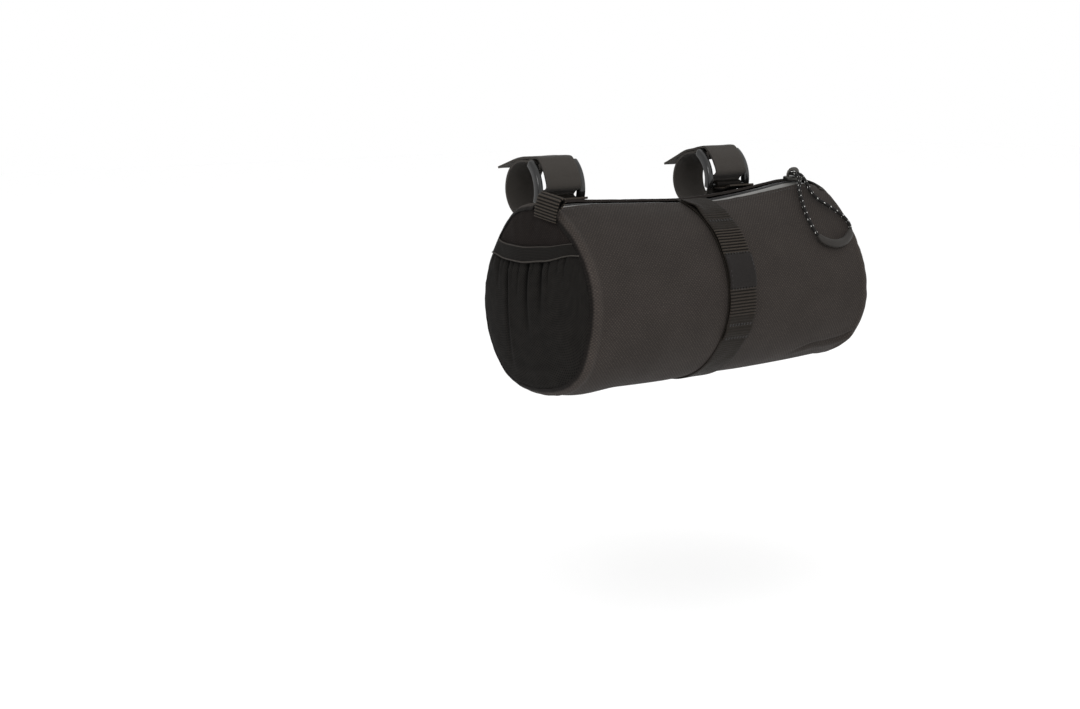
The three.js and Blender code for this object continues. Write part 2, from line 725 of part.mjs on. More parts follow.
addPiece('main_panel', mainPanel(), finish(0x3b3734, 0.85));
addPiece('end_panel_left', endPanel(-1), finish(0x2a2827, 0.9));
addPiece('end_panel_right', endPanel(1), finish(0x2a2827, 0.9));
addPiece('mesh_pocket', meshPocket(), finish(0x302f2d, 0.8));
addPiece('pocket_band', pocketBand(), finish(0x262524, 0.75));
addPiece('zip_tape_front', zipTape(tapeFront), finish(0x8d8d8c, 0.35));
addPiece('zip_tape_rear', zipTape(tapeRear), finish(0x333233, 0.4));
addPiece('zip_coil', zipCoil(), finish(0x161616, 0.5));
addPiece('zip_garage', zipGarage(), finish(0x1c1b1b, 0.8));
addPiece('zip_slider', zipSlider(), finish(0x55544f, 0.35, 0.9));
addPiece('puller_cord', pullerCord(), finish(0x1b1b1c, 0.8));
addPiece('pull_grip', pullGrip(), finish(0x4a4a4b, 0.55));
addPiece('webbing_base', webbingBase(), finish(0x1d1c1c, 0.7));
addPiece('webbing_loops', webbingLoops(), finish(0x1d1c1c, 0.7));
addPiece('label_patch', labelPatch(), finish(0x242323, 0.7));
addPiece('grab_tab', grabTab(), finish(0x242322, 0.7));

for (const row of strapRows) {
  const onBar = new THREE.Group();
  onBar.position.x = row.along * halfLength;
  onBar.rotation.x = -row.turn * radians;
  const strap = addPiece(`bar_strap_${row.name}`, barStrap(row), finish(0x252424, 0.85));
  const ring = addPiece(`buckle_${row.name}`, buckle(), finish(0x141414, 0.3));
  onBar.add(strap, ring);
  group.add(onBar);
  addPiece(`strap_tab_${row.name}`, strapTab(row), finish(0x222121, 0.7));
}

export default group;
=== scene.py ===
import json
import math

import bpy
from mathutils import Matrix, Vector, noise
from mathutils.bvhtree import BVHTree

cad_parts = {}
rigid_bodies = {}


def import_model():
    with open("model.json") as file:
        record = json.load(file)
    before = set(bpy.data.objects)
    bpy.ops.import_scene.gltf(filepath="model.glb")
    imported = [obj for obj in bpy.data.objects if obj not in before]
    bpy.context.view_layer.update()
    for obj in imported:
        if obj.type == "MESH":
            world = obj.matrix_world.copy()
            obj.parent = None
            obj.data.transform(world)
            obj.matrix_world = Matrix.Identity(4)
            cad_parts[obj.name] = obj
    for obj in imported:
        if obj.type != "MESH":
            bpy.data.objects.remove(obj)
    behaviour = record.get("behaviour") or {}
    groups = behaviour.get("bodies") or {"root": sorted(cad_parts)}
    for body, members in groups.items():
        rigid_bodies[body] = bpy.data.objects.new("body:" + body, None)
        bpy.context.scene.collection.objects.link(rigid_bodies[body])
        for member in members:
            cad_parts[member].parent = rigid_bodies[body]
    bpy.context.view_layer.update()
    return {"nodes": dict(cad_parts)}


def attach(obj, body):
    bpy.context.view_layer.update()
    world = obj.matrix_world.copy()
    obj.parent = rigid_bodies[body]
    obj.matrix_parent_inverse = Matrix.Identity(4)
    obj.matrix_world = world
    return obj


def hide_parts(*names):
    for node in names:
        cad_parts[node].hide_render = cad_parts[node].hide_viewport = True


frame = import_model()
mm = 0.001
print("solids loaded")


# Handling of objects

def takeUp(obj):
    for other in bpy.context.view_layer.objects:
        other.select_set(False)
    obj.select_set(True)
    bpy.context.view_layer.objects.active = obj
    return obj


def editAll(obj, *operators):
    takeUp(obj)
    bpy.ops.object.mode_set(mode="EDIT")
    bpy.ops.mesh.select_all(action="SELECT")
    for operator in operators:
        operator()
    bpy.ops.object.mode_set(mode="OBJECT")
    return obj


def editPicked(obj, kind, test, *operators):  # operators on the vertices, edges or faces that pass a test
    takeUp(obj)
    mesh = obj.data
    for group in (mesh.vertices, mesh.edges, mesh.polygons):
        group.foreach_set("select", [False] * len(group))
    for item in getattr(mesh, kind):
        item.select = bool(test(item))
    kinds = ("vertices", "edges", "polygons")
    bpy.context.tool_settings.mesh_select_mode = [kind == k for k in kinds]
    bpy.ops.object.mode_set(mode="EDIT")
    for operator in operators:
        operator()
    bpy.ops.object.mode_set(mode="OBJECT")
    bpy.context.tool_settings.mesh_select_mode = (True, False, False)
    return obj


def addModifier(obj, kind, **settings):
    modifier = obj.modifiers.new(kind.title(), kind)
    for key, value in settings.items():
        setattr(modifier, key, value)
    return modifier


def applyModifiers(obj):
    takeUp(obj)
    for modifier in list(obj.modifiers):
        bpy.ops.object.modifier_apply(modifier=modifier.name)
    return obj


def thicken(obj, wall):  # cloth gets its wall inwards
    addModifier(obj, "SOLIDIFY", thickness=wall * mm, offset=-1, use_even_offset=False)
    return applyModifiers(obj)


def copyOfSolid(nodeName, name):
    obj = bpy.data.objects.new(name, frame["nodes"][nodeName].data.copy())
    bpy.context.scene.collection.objects.link(obj)
    obj.data.materials.clear()
    return editAll(
        obj,
        lambda: bpy.ops.mesh.remove_doubles(threshold=0.00001),
        lambda: bpy.ops.mesh.tris_convert_to_quads(face_threshold=0.7, shape_threshold=0.7),
    )


def dress(obj, material, slotName, *nodeNames, angle=35):
    obj.data.materials.clear()
    obj.data.materials.append(material)
    takeUp(obj)
    bpy.ops.object.shade_smooth_by_angle(angle=math.radians(angle))
    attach(obj, "root")
    if nodeNames:
        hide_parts(*nodeNames)
    return obj


# Flat cloth grid laid on a surface: place(u, v) gives each point, cut is its flat size in mm,
# and ribs(u, v), kept as the 'ribs' attribute, says how clearly the webbing's ribs and their painted groove shade
# show there, or how much painted shade the mesh pocket gets in its gathers
def clothGrid(name, across, along, cut, place, ribs=None):
    bpy.ops.mesh.primitive_grid_add(x_subdivisions=across, y_subdivisions=along, size=1)
    obj = bpy.context.object
    obj.name = obj.data.name = name
    for corner in obj.data.uv_layers.active.data:
        corner.uv = (corner.uv[0] * cut[0], corner.uv[1] * cut[1])
    spots = [(vertex.co.x + 0.5, vertex.co.y + 0.5) for vertex in obj.data.vertices]
    for vertex, spot in zip(obj.data.vertices, spots):
        vertex.co = place(*spot)
    if ribs:
        layer = obj.data.attributes.new("ribs", "FLOAT", "POINT")
        layer.data.foreach_set("value", [ribs(*spot) for spot in spots])
    return obj


# One small shape repeated at each of the given places, as one mesh
def stampAlong(name, seed, places):
    base = [vertex.co.copy() for vertex in seed.data.vertices]
    rings = [list(face.vertices) for face in seed.data.polygons]
    points = []
    faces = []
    for place in places:
        start = len(points)
        points += [place @ point for point in base]
        faces += [[start + i for i in ring] for ring in rings]
    mesh = bpy.data.meshes.new(name)
    mesh.from_pydata(points, [], faces)
    obj = bpy.data.objects.new(name, mesh)
    bpy.context.scene.collection.objects.link(obj)
    bpy.data.objects.remove(seed)
    return obj


# Numbers

def mix(a, b, t):
    return a + (b - a) * t


def ease(t):
    t = min(max(t, 0.0), 1.0)
    return t * t * (3 - 2 * t)


def denseAtEnds(t, amount):  # 0..1 to 0..1, with closer steps at both ends
    return t - amount * math.sin(2 * math.pi * t) / (2 * math.pi)


# Smooth line through points, resampled at even distances
def smoothPath(points, count):
    points = [Vector(p) for p in points]
    ends = [2 * points[0] - points[1]] + points + [2 * points[-1] - points[-2]]
    dense = []
    for a, b, c, d in zip(ends, ends[1:], ends[2:], ends[3:]):
        ka, kb, kc = (max((q - p).length, 1e-9) ** 0.5 for p, q in ((a, b), (b, c), (c, d)))
        slopeB = (b - a) / ka - (c - a) / (ka + kb) + (c - b) / kb
        slopeC = (c - b) / kb - (d - b) / (kb + kc) + (d - c) / kc
        for step in range(16):
            t = step / 16
            dense.append(
                b * (2 * t**3 - 3 * t**2 + 1) + c * (3 * t**2 - 2 * t**3)
                + slopeB * kb * (t**3 - 2 * t**2 + t) + slopeC * kb * (t**3 - t**2)
            )
    dense.append(points[-1])
    reach = [0.0]
    for p, q in zip(dense, dense[1:]):
        reach.append(reach[-1] + (q - p).length)
    line = []
    i = 0
    for step in range(count + 1):
        goal = reach[-1] * step / count
        while i < len(dense) - 2 and reach[i + 1] < goal:
            i += 1
        line.append(dense[i].lerp(dense[i + 1], (goal - reach[i]) / max(reach[i + 1] - reach[i], 1e-9)))
    return line


def pathLength(line):
    return sum((q - p).length for p, q in zip(line, line[1:]))


# Camera at the photograph's angle

cameraSetup = {
    "place": (-0.63049, -0.75735, 0.05559),
    "azimuth": -36.11,
    "elevation": 9.41,
    "roll": -1.07,
    "lens": 52.54,
}


def setCamera():
    bpy.ops.object.camera_add()
    camera = bpy.context.object
    turn = (
        Matrix.Rotation(math.radians(cameraSetup["azimuth"]), 4, "Z")
        @ Matrix.Rotation(math.radians(90 - cameraSetup["elevation"]), 4, "X")
        @ Matrix.Rotation(math.radians(cameraSetup["roll"]), 4, "Z")
    )
    camera.matrix_world = Matrix.Translation(cameraSetup["place"]) @ turn
    camera.data.sensor_fit = "HORIZONTAL"
    camera.data.sensor_width = 36
    camera.data.lens = cameraSetup["lens"]
    camera.data.clip_start = 0.01
    bpy.context.scene.camera = camera
    bpy.context.scene.view_settings.view_transform = "Standard"


setCamera()
print("camera set")


# Colours and material nodes

def fromHex(code):  # sRGB hex to linear
    parts = [int(code[i : i + 2], 16) / 255 for i in (1, 3, 5)]
    return tuple(c / 12.92 if c <= 0.04045 else ((c + 0.055) / 1.055) ** 2.4 for c in parts) + (1.0,)


# Adds a node: keys that start with a capital or a number are sockets, the others are its own settings
def addNode(tree, kind, settings=None, links=None):
    node = tree.nodes.new("ShaderNode" + kind)
    for key, value in (settings or {}).items():
        if isinstance(key, int) or key[0].isupper():
            node.inputs[key].default_value = value
        else:
            setattr(node, key, value)
    for key, source in (links or {}).items():
        tree.links.new(source, node.inputs[key])
    return node


def newMaterial(name, color, roughness, **sockets):
    material = bpy.data.materials.new(name)
    material.use_nodes = True
    shader = material.node_tree.nodes["Principled BSDF"]
    shader.inputs["Base Color"].default_value = fromHex(color)
    shader.inputs["Roughness"].default_value = roughness
    for key, value in sockets.items():
        shader.inputs[key.replace("_", " ")].default_value = value
    return material, material.node_tree, shader


# Height of a plain weave from a surface's own UV in mm: warp and weft threads cross over in turn
def weaveHeight(tree, uv, pitch):
    split = addNode(tree, "SeparateXYZ", links={0: uv})
    waves = []
    for axis in ("X", "Y"):
        turn = addNode(tree, "Math", {"operation": "MULTIPLY", 1: math.pi / pitch}, {0: split.outputs[axis]})
        wave = addNode(tree, "Math", {"operation": "SINE"}, {0: turn.outputs[0]})
        waves.append((wave, addNode(tree, "Math", {"operation": "ABSOLUTE"}, {0: wave.outputs[0]})))
    sign = addNode(tree, "Math", {"operation": "MULTIPLY"}, {0: waves[0][0].outputs[0], 1: waves[1][0].outputs[0]})
    over = addNode(tree, "Math", {"operation": "GREATER_THAN", 1: 0.0}, {0: sign.outputs[0]})
    height = addNode(
        tree, "Mix", {"data_type": "FLOAT"},
        {0: over.outputs[0], 2: waves[0][1].outputs[0], 3: waves[1][1].outputs[0]},
    )
    return height.outputs[0], over.outputs[0]


def wovenCloth(name, dark, light, fleck, pitch, depth, roughness, shine=0.12, length=None):
    material, tree, shader = newMaterial(name, dark, roughness, Specular_IOR_Level=shine, Sheen_Weight=shine / 6)
    uv = addNode(tree, "UVMap").outputs[0]
    height, over = weaveHeight(tree, uv, pitch)
    yarn = addNode(tree, "TexNoise", {"Scale": 0.9, "Detail": 3.0, "Roughness": 0.65}, {"Vector": uv})
    broad = addNode(tree, "TexNoise", {"Scale": 0.035, "Detail": 2.0}, {"Vector": uv})
    tone = addNode(
        tree, "Mix", {"data_type": "RGBA", 6: fromHex(dark), 7: fromHex(light)}, {0: yarn.outputs[0]})
    flecked = addNode(tree, "Mix", {"data_type": "RGBA", 7: fromHex(fleck)}, {6: tone.outputs[2]})
    lit = addNode(tree, "MapRange", {1: 0.35, 2: 0.75, 3: 0.1, 4: 0.6}, {0: yarn.outputs[0]})
    warp = addNode(tree, "Math", {"operation": "MULTIPLY"}, {0: height, 1: over})
    spot = addNode(tree, "Math", {"operation": "MULTIPLY"}, {0: lit.outputs[0], 1: warp.outputs[0]})
    tree.links.new(spot.outputs[0], flecked.inputs[0])
    worn = addNode(tree, "MapRange", {1: 0.35, 2: 0.7, 3: 0.9, 4: 1.08}, {0: broad.outputs[0]})
    final = addNode(tree, "VectorMath", {"operation": "SCALE"}, {0: flecked.outputs[2], 3: worn.outputs[0]})
    if length:  # painted shadow in the seam at both ends, and a painted highlight on the rolled fold beside it
        split = addNode(tree, "SeparateXYZ", links={0: uv})
        rest = addNode(tree, "Math", {"operation": "SUBTRACT", 0: length}, {1: split.outputs["X"]})
        toEnd = addNode(tree, "Math", {"operation": "MINIMUM"}, {0: split.outputs["X"], 1: rest.outputs[0]})
        shadow = addNode(tree, "MapRange", {1: 0.7, 2: 1.9, 3: 0.2, 4: 1.0}, {0: toEnd.outputs[0]})
        rollHighlight = addNode(tree, "MapRange", {1: 4.0, 2: 7.5, 3: 1.35, 4: 1.0}, {0: toEnd.outputs[0]})
        both = addNode(tree, "Math", {"operation": "MULTIPLY"}, {0: shadow.outputs[0], 1: rollHighlight.outputs[0]})
        final = addNode(tree, "VectorMath", {"operation": "SCALE"}, {0: final.outputs[0], 3: both.outputs[0]})
    tree.links.new(final.outputs[0], shader.inputs["Base Color"])
    mixed = addNode(tree, "Math", {"operation": "MULTIPLY_ADD", 1: 0.5}, {0: yarn.outputs[0], 2: height})
    bump = addNode(tree, "Bump", {"Strength": 0.6, "Distance": depth * mm}, {"Height": mixed.outputs[0]})
    tree.links.new(bump.outputs[0], shader.inputs["Normal"])
    return material


# 600-denier polyester, plain weave with a coated back: matt, a warm dark grey with pale flecks where threads
# catch the light. The 0.6 mm threads are drawn at 1 mm so that they show.
# 217 mm is the panel's length: it places the painted seam shadow and the painted highlight on the rolled fold at both
# ends
polyester = wovenCloth("wovenPolyester", "#25211f", "#2c2826", "#4d463f", 1.0, 0.1, 0.85, 0.1, 217)

# The same cloth on the end panels with a finer weave, its colour made more neutral and much darker than the main
# panel as painted shade
shadedEndPolyester = wovenCloth("fineWovenPolyesterShaded", "#141110", "#1a1615", "#342e2a", 0.9, 0.1, 0.9, 0.06)

# Damask-woven patch: fine flat threads, a little silkier than the cloth
patchCloth = wovenCloth("wovenPatch", "#171514", "#1f1c1b", "#2c2927", 0.5, 0.04, 0.7, 0.1)


# Knitted mesh: rows of small dark holes between pale grey threads, with a silky sheen
def knittedMesh():
    material, tree, shader = newMaterial("knittedMesh", "#1c1a19", 0.75, Specular_IOR_Level=0.04, Sheen_Weight=0.0)
    uv = addNode(tree, "UVMap").outputs[0]
    split = addNode(tree, "SeparateXYZ", links={0: uv})
    pitch = 1.4
    across = addNode(tree, "Math", {"operation": "MULTIPLY", 1: 2 * math.pi / pitch}, {0: split.outputs["X"]})
    along = addNode(tree, "Math", {"operation": "MULTIPLY", 1: 2 * math.pi / pitch}, {0: split.outputs["Y"]})
    waveA = addNode(tree, "Math", {"operation": "SINE"}, {0: across.outputs[0]})
    waveB = addNode(tree, "Math", {"operation": "SINE"}, {0: along.outputs[0]})
    hole = addNode(tree, "Math", {"operation": "MULTIPLY"}, {0: waveA.outputs[0], 1: waveB.outputs[0]})
    open_ = addNode(tree, "MapRange", {1: 0.15, 2: 0.75, 3: 0.0, 4: 1.0}, {0: hole.outputs[0]})
    yarn = addNode(tree, "TexNoise", {"Scale": 0.22, "Detail": 3.0}, {"Vector": uv})
    tone = addNode(
        tree, "Mix", {"data_type": "RGBA", 6: fromHex("#141312"), 7: fromHex("#242220")}, {0: yarn.outputs[0]})
    color = addNode(
        tree, "Mix", {"data_type": "RGBA", 7: fromHex("#060606")}, {0: open_.outputs[0], 6: tone.outputs[2]})
    # Painted shade: the mesh darkens with the depth of its gathers and just under the band, held in the 'ribs'
    # attribute
    gatherShade = addNode(tree, "Attribute", {"attribute_name": "ribs"})
    shade = addNode(tree, "MapRange", {1: 0.1, 2: 1.0, 3: 1.0, 4: 0.08}, {0: gatherShade.outputs["Fac"]})
    final = addNode(tree, "VectorMath", {"operation": "SCALE"}, {0: color.outputs[2], 3: shade.outputs[0]})
    tree.links.new(final.outputs[0], shader.inputs["Base Color"])
    low = addNode(tree, "Math", {"operation": "SUBTRACT", 0: 1.0}, {1: open_.outputs[0]})
    bump = addNode(tree, "Bump", {"Strength": 0.7, "Distance": 0.2 * mm}, {"Height": low.outputs[0]})
    tree.links.new(bump.outputs[0], shader.inputs["Normal"])
    return material


meshCloth = knittedMesh()


# Band or webbing: fine threads by UV, and painted shade in the grooves between the cross ribs where the cloth's own
# ribs show; where they show less, the tone is darkened towards flat
def ribbedCloth(name, dark, light, pitch, depth, roughness, axis="Y", sheen=0.01, flat=1.0, edgeHighlights=None):
    material, tree, shader = newMaterial(name, dark, roughness, Specular_IOR_Level=0.06, Sheen_Weight=sheen)
    uv = addNode(tree, "UVMap").outputs[0]
    split = addNode(tree, "SeparateXYZ", links={0: uv})
    turn = addNode(tree, "Math", {"operation": "MULTIPLY", 1: 2 * math.pi / pitch}, {0: split.outputs[axis]})
    wave = addNode(tree, "Math", {"operation": "SINE"}, {0: turn.outputs[0]})
    rib = addNode(tree, "MapRange", {1: -1.0, 2: 1.0}, {0: wave.outputs[0]})
    thread = addNode(tree, "TexNoise", {"Scale": 1.6, "Detail": 2.0, "Roughness": 0.7}, {"Vector": uv})
    both = addNode(tree, "Math", {"operation": "MULTIPLY_ADD", 1: 0.45}, {0: thread.outputs[0], 2: rib.outputs[0]})
    share = addNode(tree, "MapRange", {1: 0.2, 2: 1.2}, {0: both.outputs[0]})
    tone = addNode(
        tree, "Mix", {"data_type": "RGBA", 6: fromHex(dark), 7: fromHex(light)}, {0: share.outputs[0]})
    cross = addNode(
        tree, "Math", {"operation": "MULTIPLY", 1: 2 * math.pi / ribPitch}, {0: split.outputs["Y"]})
    crest = addNode(tree, "Math", {"operation": "COSINE"}, {0: cross.outputs[0]})
    shown = addNode(tree, "Attribute", {"attribute_name": "ribs"})
    # painted shade in the grooves between the cross ribs, as strong as the 'ribs' attribute
    grooveShade = addNode(tree, "MapRange", {1: 0.5, 2: -0.6, 3: 0.0, 4: 0.95}, {0: crest.outputs[0]})
    shade = addNode(tree, "Math", {"operation": "MULTIPLY"}, {0: grooveShade.outputs[0], 1: shown.outputs["Fac"]})
    plain = addNode(tree, "MapRange", {3: flat, 4: 1.0}, {0: shown.outputs["Fac"]})
    dim = addNode(tree, "Math", {"operation": "SUBTRACT"}, {0: plain.outputs[0], 1: shade.outputs[0]})
    final = addNode(tree, "VectorMath", {"operation": "SCALE"}, {0: tone.outputs[2], 3: dim.outputs[0]})
    for middle, width, gain in edgeHighlights or ():  # painted highlights: paler lines at these UV heights, on the band along its raised edges
        off = addNode(tree, "Math", {"operation": "SUBTRACT", 1: middle}, {0: split.outputs["Y"]})
        away = addNode(tree, "Math", {"operation": "ABSOLUTE"}, {0: off.outputs[0]})
        pale = addNode(tree, "MapRange", {1: 0.3 * width, 2: width, 3: gain, 4: 1.0}, {0: away.outputs[0]})
        final = addNode(tree, "VectorMath", {"operation": "SCALE"}, {0: final.outputs[0], 3: pale.outputs[0]})
    tree.links.new(final.outputs[0], shader.inputs["Base Color"])
    bump = addNode(tree, "Bump", {"Strength": 0.7, "Distance": depth * mm}, {"Height": both.outputs[0]})
    tree.links.new(bump.outputs[0], shader.inputs["Normal"])
    return material


ribPitch = 1.75  # mm between the webbing's cross ribs

# Polypropylene webbing: flat-laid bundles of slippery thread, near black, with a low sheen along the ribs
webbing = ribbedCloth("polypropyleneWebbing", "#1a1714", "#49423b", 0.6, 0.08, 0.6, axis="X", flat=0.3)

# Knitted elastic binding: fine lengthwise ribs, matt, with painted highlights 0.7 mm and 9.2 mm up its UV, along the
# band's raised lower and upper edges
elastic = ribbedCloth("knittedElastic", "#0f0e0d", "#1c1a18", 0.9, 0.12, 0.8, axis="Y", edgeHighlights=((0.7, 0.6, 7.0), (9.2, 0.45, 4.0)))


# Nylon loop pile: brushed and hairy, so it looks soft and slightly grey at glancing light
def loopPile():
    material, tree, shader = newMaterial("nylonLoopPile", "#2c2a28", 0.95, Specular_IOR_Level=0.1, Sheen_Weight=0.06)
    uv = addNode(tree, "UVMap").outputs[0]
    fluff = addNode(tree, "TexNoise", {"Scale": 1.4, "Detail": 5.0, "Roughness": 0.75}, {"Vector": uv})
    tone = addNode(
        tree, "Mix", {"data_type": "RGBA", 6: fromHex("#292725"), 7: fromHex("#433f3b")}, {0: fluff.outputs[0]})
    tree.links.new(tone.outputs[2], shader.inputs["Base Color"])
    bump = addNode(tree, "Bump", {"Strength": 0.8, "Distance": 0.35 * mm}, {"Height": fluff.outputs[0]})
    tree.links.new(bump.outputs[0], shader.inputs["Normal"])
    return material


pile = loopPile()


# Film-laminated zip tape: polyurethane skin over the weave, smooth and half glossy
def laminated(name, color, light, roughness):
    material, tree, shader = newMaterial(name, color, roughness, IOR=1.5)
    uv = addNode(tree, "UVMap").outputs[0]
    grain = addNode(tree, "TexNoise", {"Scale": 0.7, "Detail": 4.0}, {"Vector": uv})
    rub = addNode(tree, "TexNoise", {"Scale": 0.08, "Detail": 3.0}, {"Vector": uv})
    tone = addNode(
        tree, "Mix", {"data_type": "RGBA", 6: fromHex(color), 7: fromHex(light)}, {0: rub.outputs[0]})
    tree.links.new(tone.outputs[2], shader.inputs["Base Color"])
    gloss = addNode(tree, "MapRange", {3: roughness - 0.08, 4: roughness + 0.14}, {0: rub.outputs[0]})
    tree.links.new(gloss.outputs[0], shader.inputs["Roughness"])
    bump = addNode(tree, "Bump", {"Strength": 0.35, "Distance": 0.08 * mm}, {"Height": grain.outputs[0]})
    tree.links.new(bump.outputs[0], shader.inputs["Normal"])
    return material


# Both tapes are the same laminated tape: the front one's pale grey is a painted reflection of light at a glancing
# angle, and the rear one is drawn darker
paleTape = laminated("laminatedZipTapePale", "#575654", "#73726f", 0.32)
darkTape = laminated("laminatedZipTapeDark", "#2c2b2c", "#3b3a3b", 0.38)


# Moulded or cast parts: fine surface grain from the tool, small changes of gloss from handling
def moulded(name, color, light, roughness, grain, metallic=0.0, grit=0.9, shine=0.5):
    material, tree, shader = newMaterial(
        name, color, roughness, Metallic=metallic, Specular_IOR_Level=shine)
    place = addNode(tree, "TexCoord").outputs["Object"]
    fine = addNode(tree, "TexNoise", {"Scale": 1000 / grit, "Detail": 2.0}, {"Vector": place})
    handled = addNode(tree, "TexNoise", {"Scale": 90.0, "Detail": 3.0}, {"Vector": place})
    tone = addNode(
        tree, "Mix", {"data_type": "RGBA", 6: fromHex(color), 7: fromHex(light)}, {0: handled.outputs[0]})
    tree.links.new(tone.outputs[2], shader.inputs["Base Color"])
    gloss = addNode(
        tree, "MapRange", {1: 0.3, 2: 0.7, 3: roughness - 0.06, 4: roughness + 0.1}, {0: handled.outputs[0]})
    tree.links.new(gloss.outputs[0], shader.inputs["Roughness"])
    bump = addNode(tree, "Bump", {"Strength": 0.3, "Distance": grain * mm}, {"Height": fine.outputs[0]})
    tree.links.new(bump.outputs[0], shader.inputs["Normal"])
    return material


# Acetal buckle: injection moulded, polished tool, so a clear dark gloss
acetal = moulded("mouldedAcetal", "#0b0b0b", "#121212", 0.17, 0.015)

# Thermoplastic rubber grip: moulded with a fine spark-eroded grain, warm dark grey
softGrip = moulded("mouldedThermoplasticRubber", "#211f1d", "#2f2c29", 0.55, 0.06, shine=0.2)

# Nylon zip coil: extruded monofilament, satin black
coilNylon = moulded("nylonCoil", "#121212", "#1d1d1d", 0.4, 0.02)

# Gunmetal-plated zinc slider: die-cast, plated, tumbled
gunmetal = moulded("platedZinc", "#3d3c39", "#555350", 0.36, 0.02, metallic=0.9)

# Bonded nylon sewing thread
thread = moulded("sewingThread", "#1b1a1a", "#2a2828", 0.6, 0.05)


# Braided polyester cord: dark plaited sheath with pairs of white reflective tracer picks
def braidedCord():
    material, tree, shader = newMaterial("braidedPolyester", "#151515", 0.7, Specular_IOR_Level=0.15)
    uv = addNode(tree, "UVMap").outputs[0]  # X goes once round in 0..1, Y is mm along the cord
    split = addNode(tree, "SeparateXYZ", links={0: uv})
    strands = []
    for slant in (1, -1):
        round_ = addNode(
            tree, "Math", {"operation": "MULTIPLY", 1: 2 * math.pi * 4 * slant}, {0: split.outputs["X"]})
        turn = addNode(
            tree, "Math", {"operation": "MULTIPLY_ADD", 1: 2 * math.pi / 1.3},
            {0: split.outputs["Y"], 2: round_.outputs[0]})
        strands.append(addNode(tree, "Math", {"operation": "SINE"}, {0: turn.outputs[0]}))
    plait = addNode(
        tree, "Math", {"operation": "MULTIPLY"}, {0: strands[0].outputs[0], 1: strands[1].outputs[0]})
    beat = addNode(tree, "Math", {"operation": "MODULO", 1: 4.8}, {0: split.outputs["Y"]})
    here = addNode(tree, "Math", {"operation": "LESS_THAN", 1: 0.9}, {0: beat.outputs[0]})
    side = addNode(tree, "Math", {"operation": "MULTIPLY", 1: 2 * math.pi * 4}, {0: split.outputs["X"]})
    swing = addNode(
        tree, "Math", {"operation": "MULTIPLY_ADD", 1: 2 * math.pi / 5.3},
        {0: split.outputs["Y"], 2: side.outputs[0]})
    wave = addNode(tree, "Math", {"operation": "SINE"}, {0: swing.outputs[0]})
    pick = addNode(tree, "Math", {"operation": "GREATER_THAN", 1: 0.8}, {0: wave.outputs[0]})
    fleck = addNode(tree, "Math", {"operation": "MULTIPLY"}, {0: here.outputs[0], 1: pick.outputs[0]})
    tone = addNode(
        tree, "Mix", {"data_type": "RGBA", 6: fromHex("#121110"), 7: fromHex("#292725")},
        {0: plait.outputs[0]})
    color = addNode(
        tree, "Mix", {"data_type": "RGBA", 7: fromHex("#e4e3df")}, {0: fleck.outputs[0], 6: tone.outputs[2]})
    tree.links.new(color.outputs[2], shader.inputs["Base Color"])
    bump = addNode(tree, "Bump", {"Strength": 0.8, "Distance": 0.15 * mm}, {"Height": plait.outputs[0]})
    tree.links.new(bump.outputs[0], shader.inputs["Normal"])
    return material


braid = braidedCord()
print("materials made")


# The drum that everything lies on: sizes as in the solids
drum = {
    "half": 108.5,
    "axisY": -37.99,
    "axisZ": -61.99,
    "wall": 1.8,
    "gap": 0.3,
    "zip": 7.4,
    "slotFront": 15.99,
    "slotRear": -1.19,
    "coilHalf": 2.0,
    "hidden": 4.4,
    "arc": 0.93,  # mm for each degree round the drum
}


def radial(angle):
    return Vector((0, -math.sin(math.radians(angle)), math.cos(math.radians(angle))))


axisPoint = Vector((0, drum["axisY"], drum["axisZ"]))


# Smooth outer form of the drum, taken from the main panel's solid and closed over the zip
def makeDrumForm():
    form = copyOfSolid("main_panel", "drumForm")

    def facesIn(face):
        out = Vector((0, face.center.y - axisPoint.y * mm, face.center.z - axisPoint.z * mm)).normalized()
        return face.normal.dot(out) < 0.5

    editPicked(form, "polygons", facesIn, lambda: bpy.ops.mesh.delete(type="FACE"))
    counts = {}
    for face in form.data.polygons:
        for key in face.edge_keys:
            counts[key] = counts.get(key, 0) + 1
    points = form.data.vertices

    def slotEdge(edge):
        along = points[edge.vertices[1]].co - points[edge.vertices[0]].co
        return counts.get(tuple(sorted(edge.vertices)), 0) == 1 and abs(along.x) > 0.6 * along.length

    editPicked(
        form, "edges", slotEdge,
        lambda: bpy.ops.mesh.bridge_edge_loops(number_cuts=1, interpolation="SURFACE", smoothness=1.0),
    )
    addModifier(form, "SUBSURF", levels=3, render_levels=3)
    applyModifiers(form)
    tree = BVHTree.FromPolygons(
        [vertex.co.copy() for vertex in form.data.vertices], [list(face.vertices) for face in form.data.polygons])
    bpy.data.objects.remove(form)
    return tree


drumTree = makeDrumForm()


def skin(x, angle):  # outer radius of the drum in mm
    edge = drum["half"] - 0.05
    start = Vector((min(max(x, -edge), edge), drum["axisY"], drum["axisZ"])) * mm
    hit = drumTree.ray_cast(start, radial(angle), 0.1)
    return hit[3] / mm if hit[3] else 53.5


def drumPoint(x, angle, lift):  # a point this far over the drum's outer face
    out = radial(angle)
    return (Vector((x, axisPoint.y, axisPoint.z)) + out * (skin(x, angle) + lift)) * mm


def lump(x, angle, size, seed):  # smooth unevenness, closed round the drum
    out = radial(angle) * (53.0 / size)
    return noise.noise(Vector((x / size + seed, out.y + seed, out.z)))


print("drum form ready")


# Pull cord and its grip

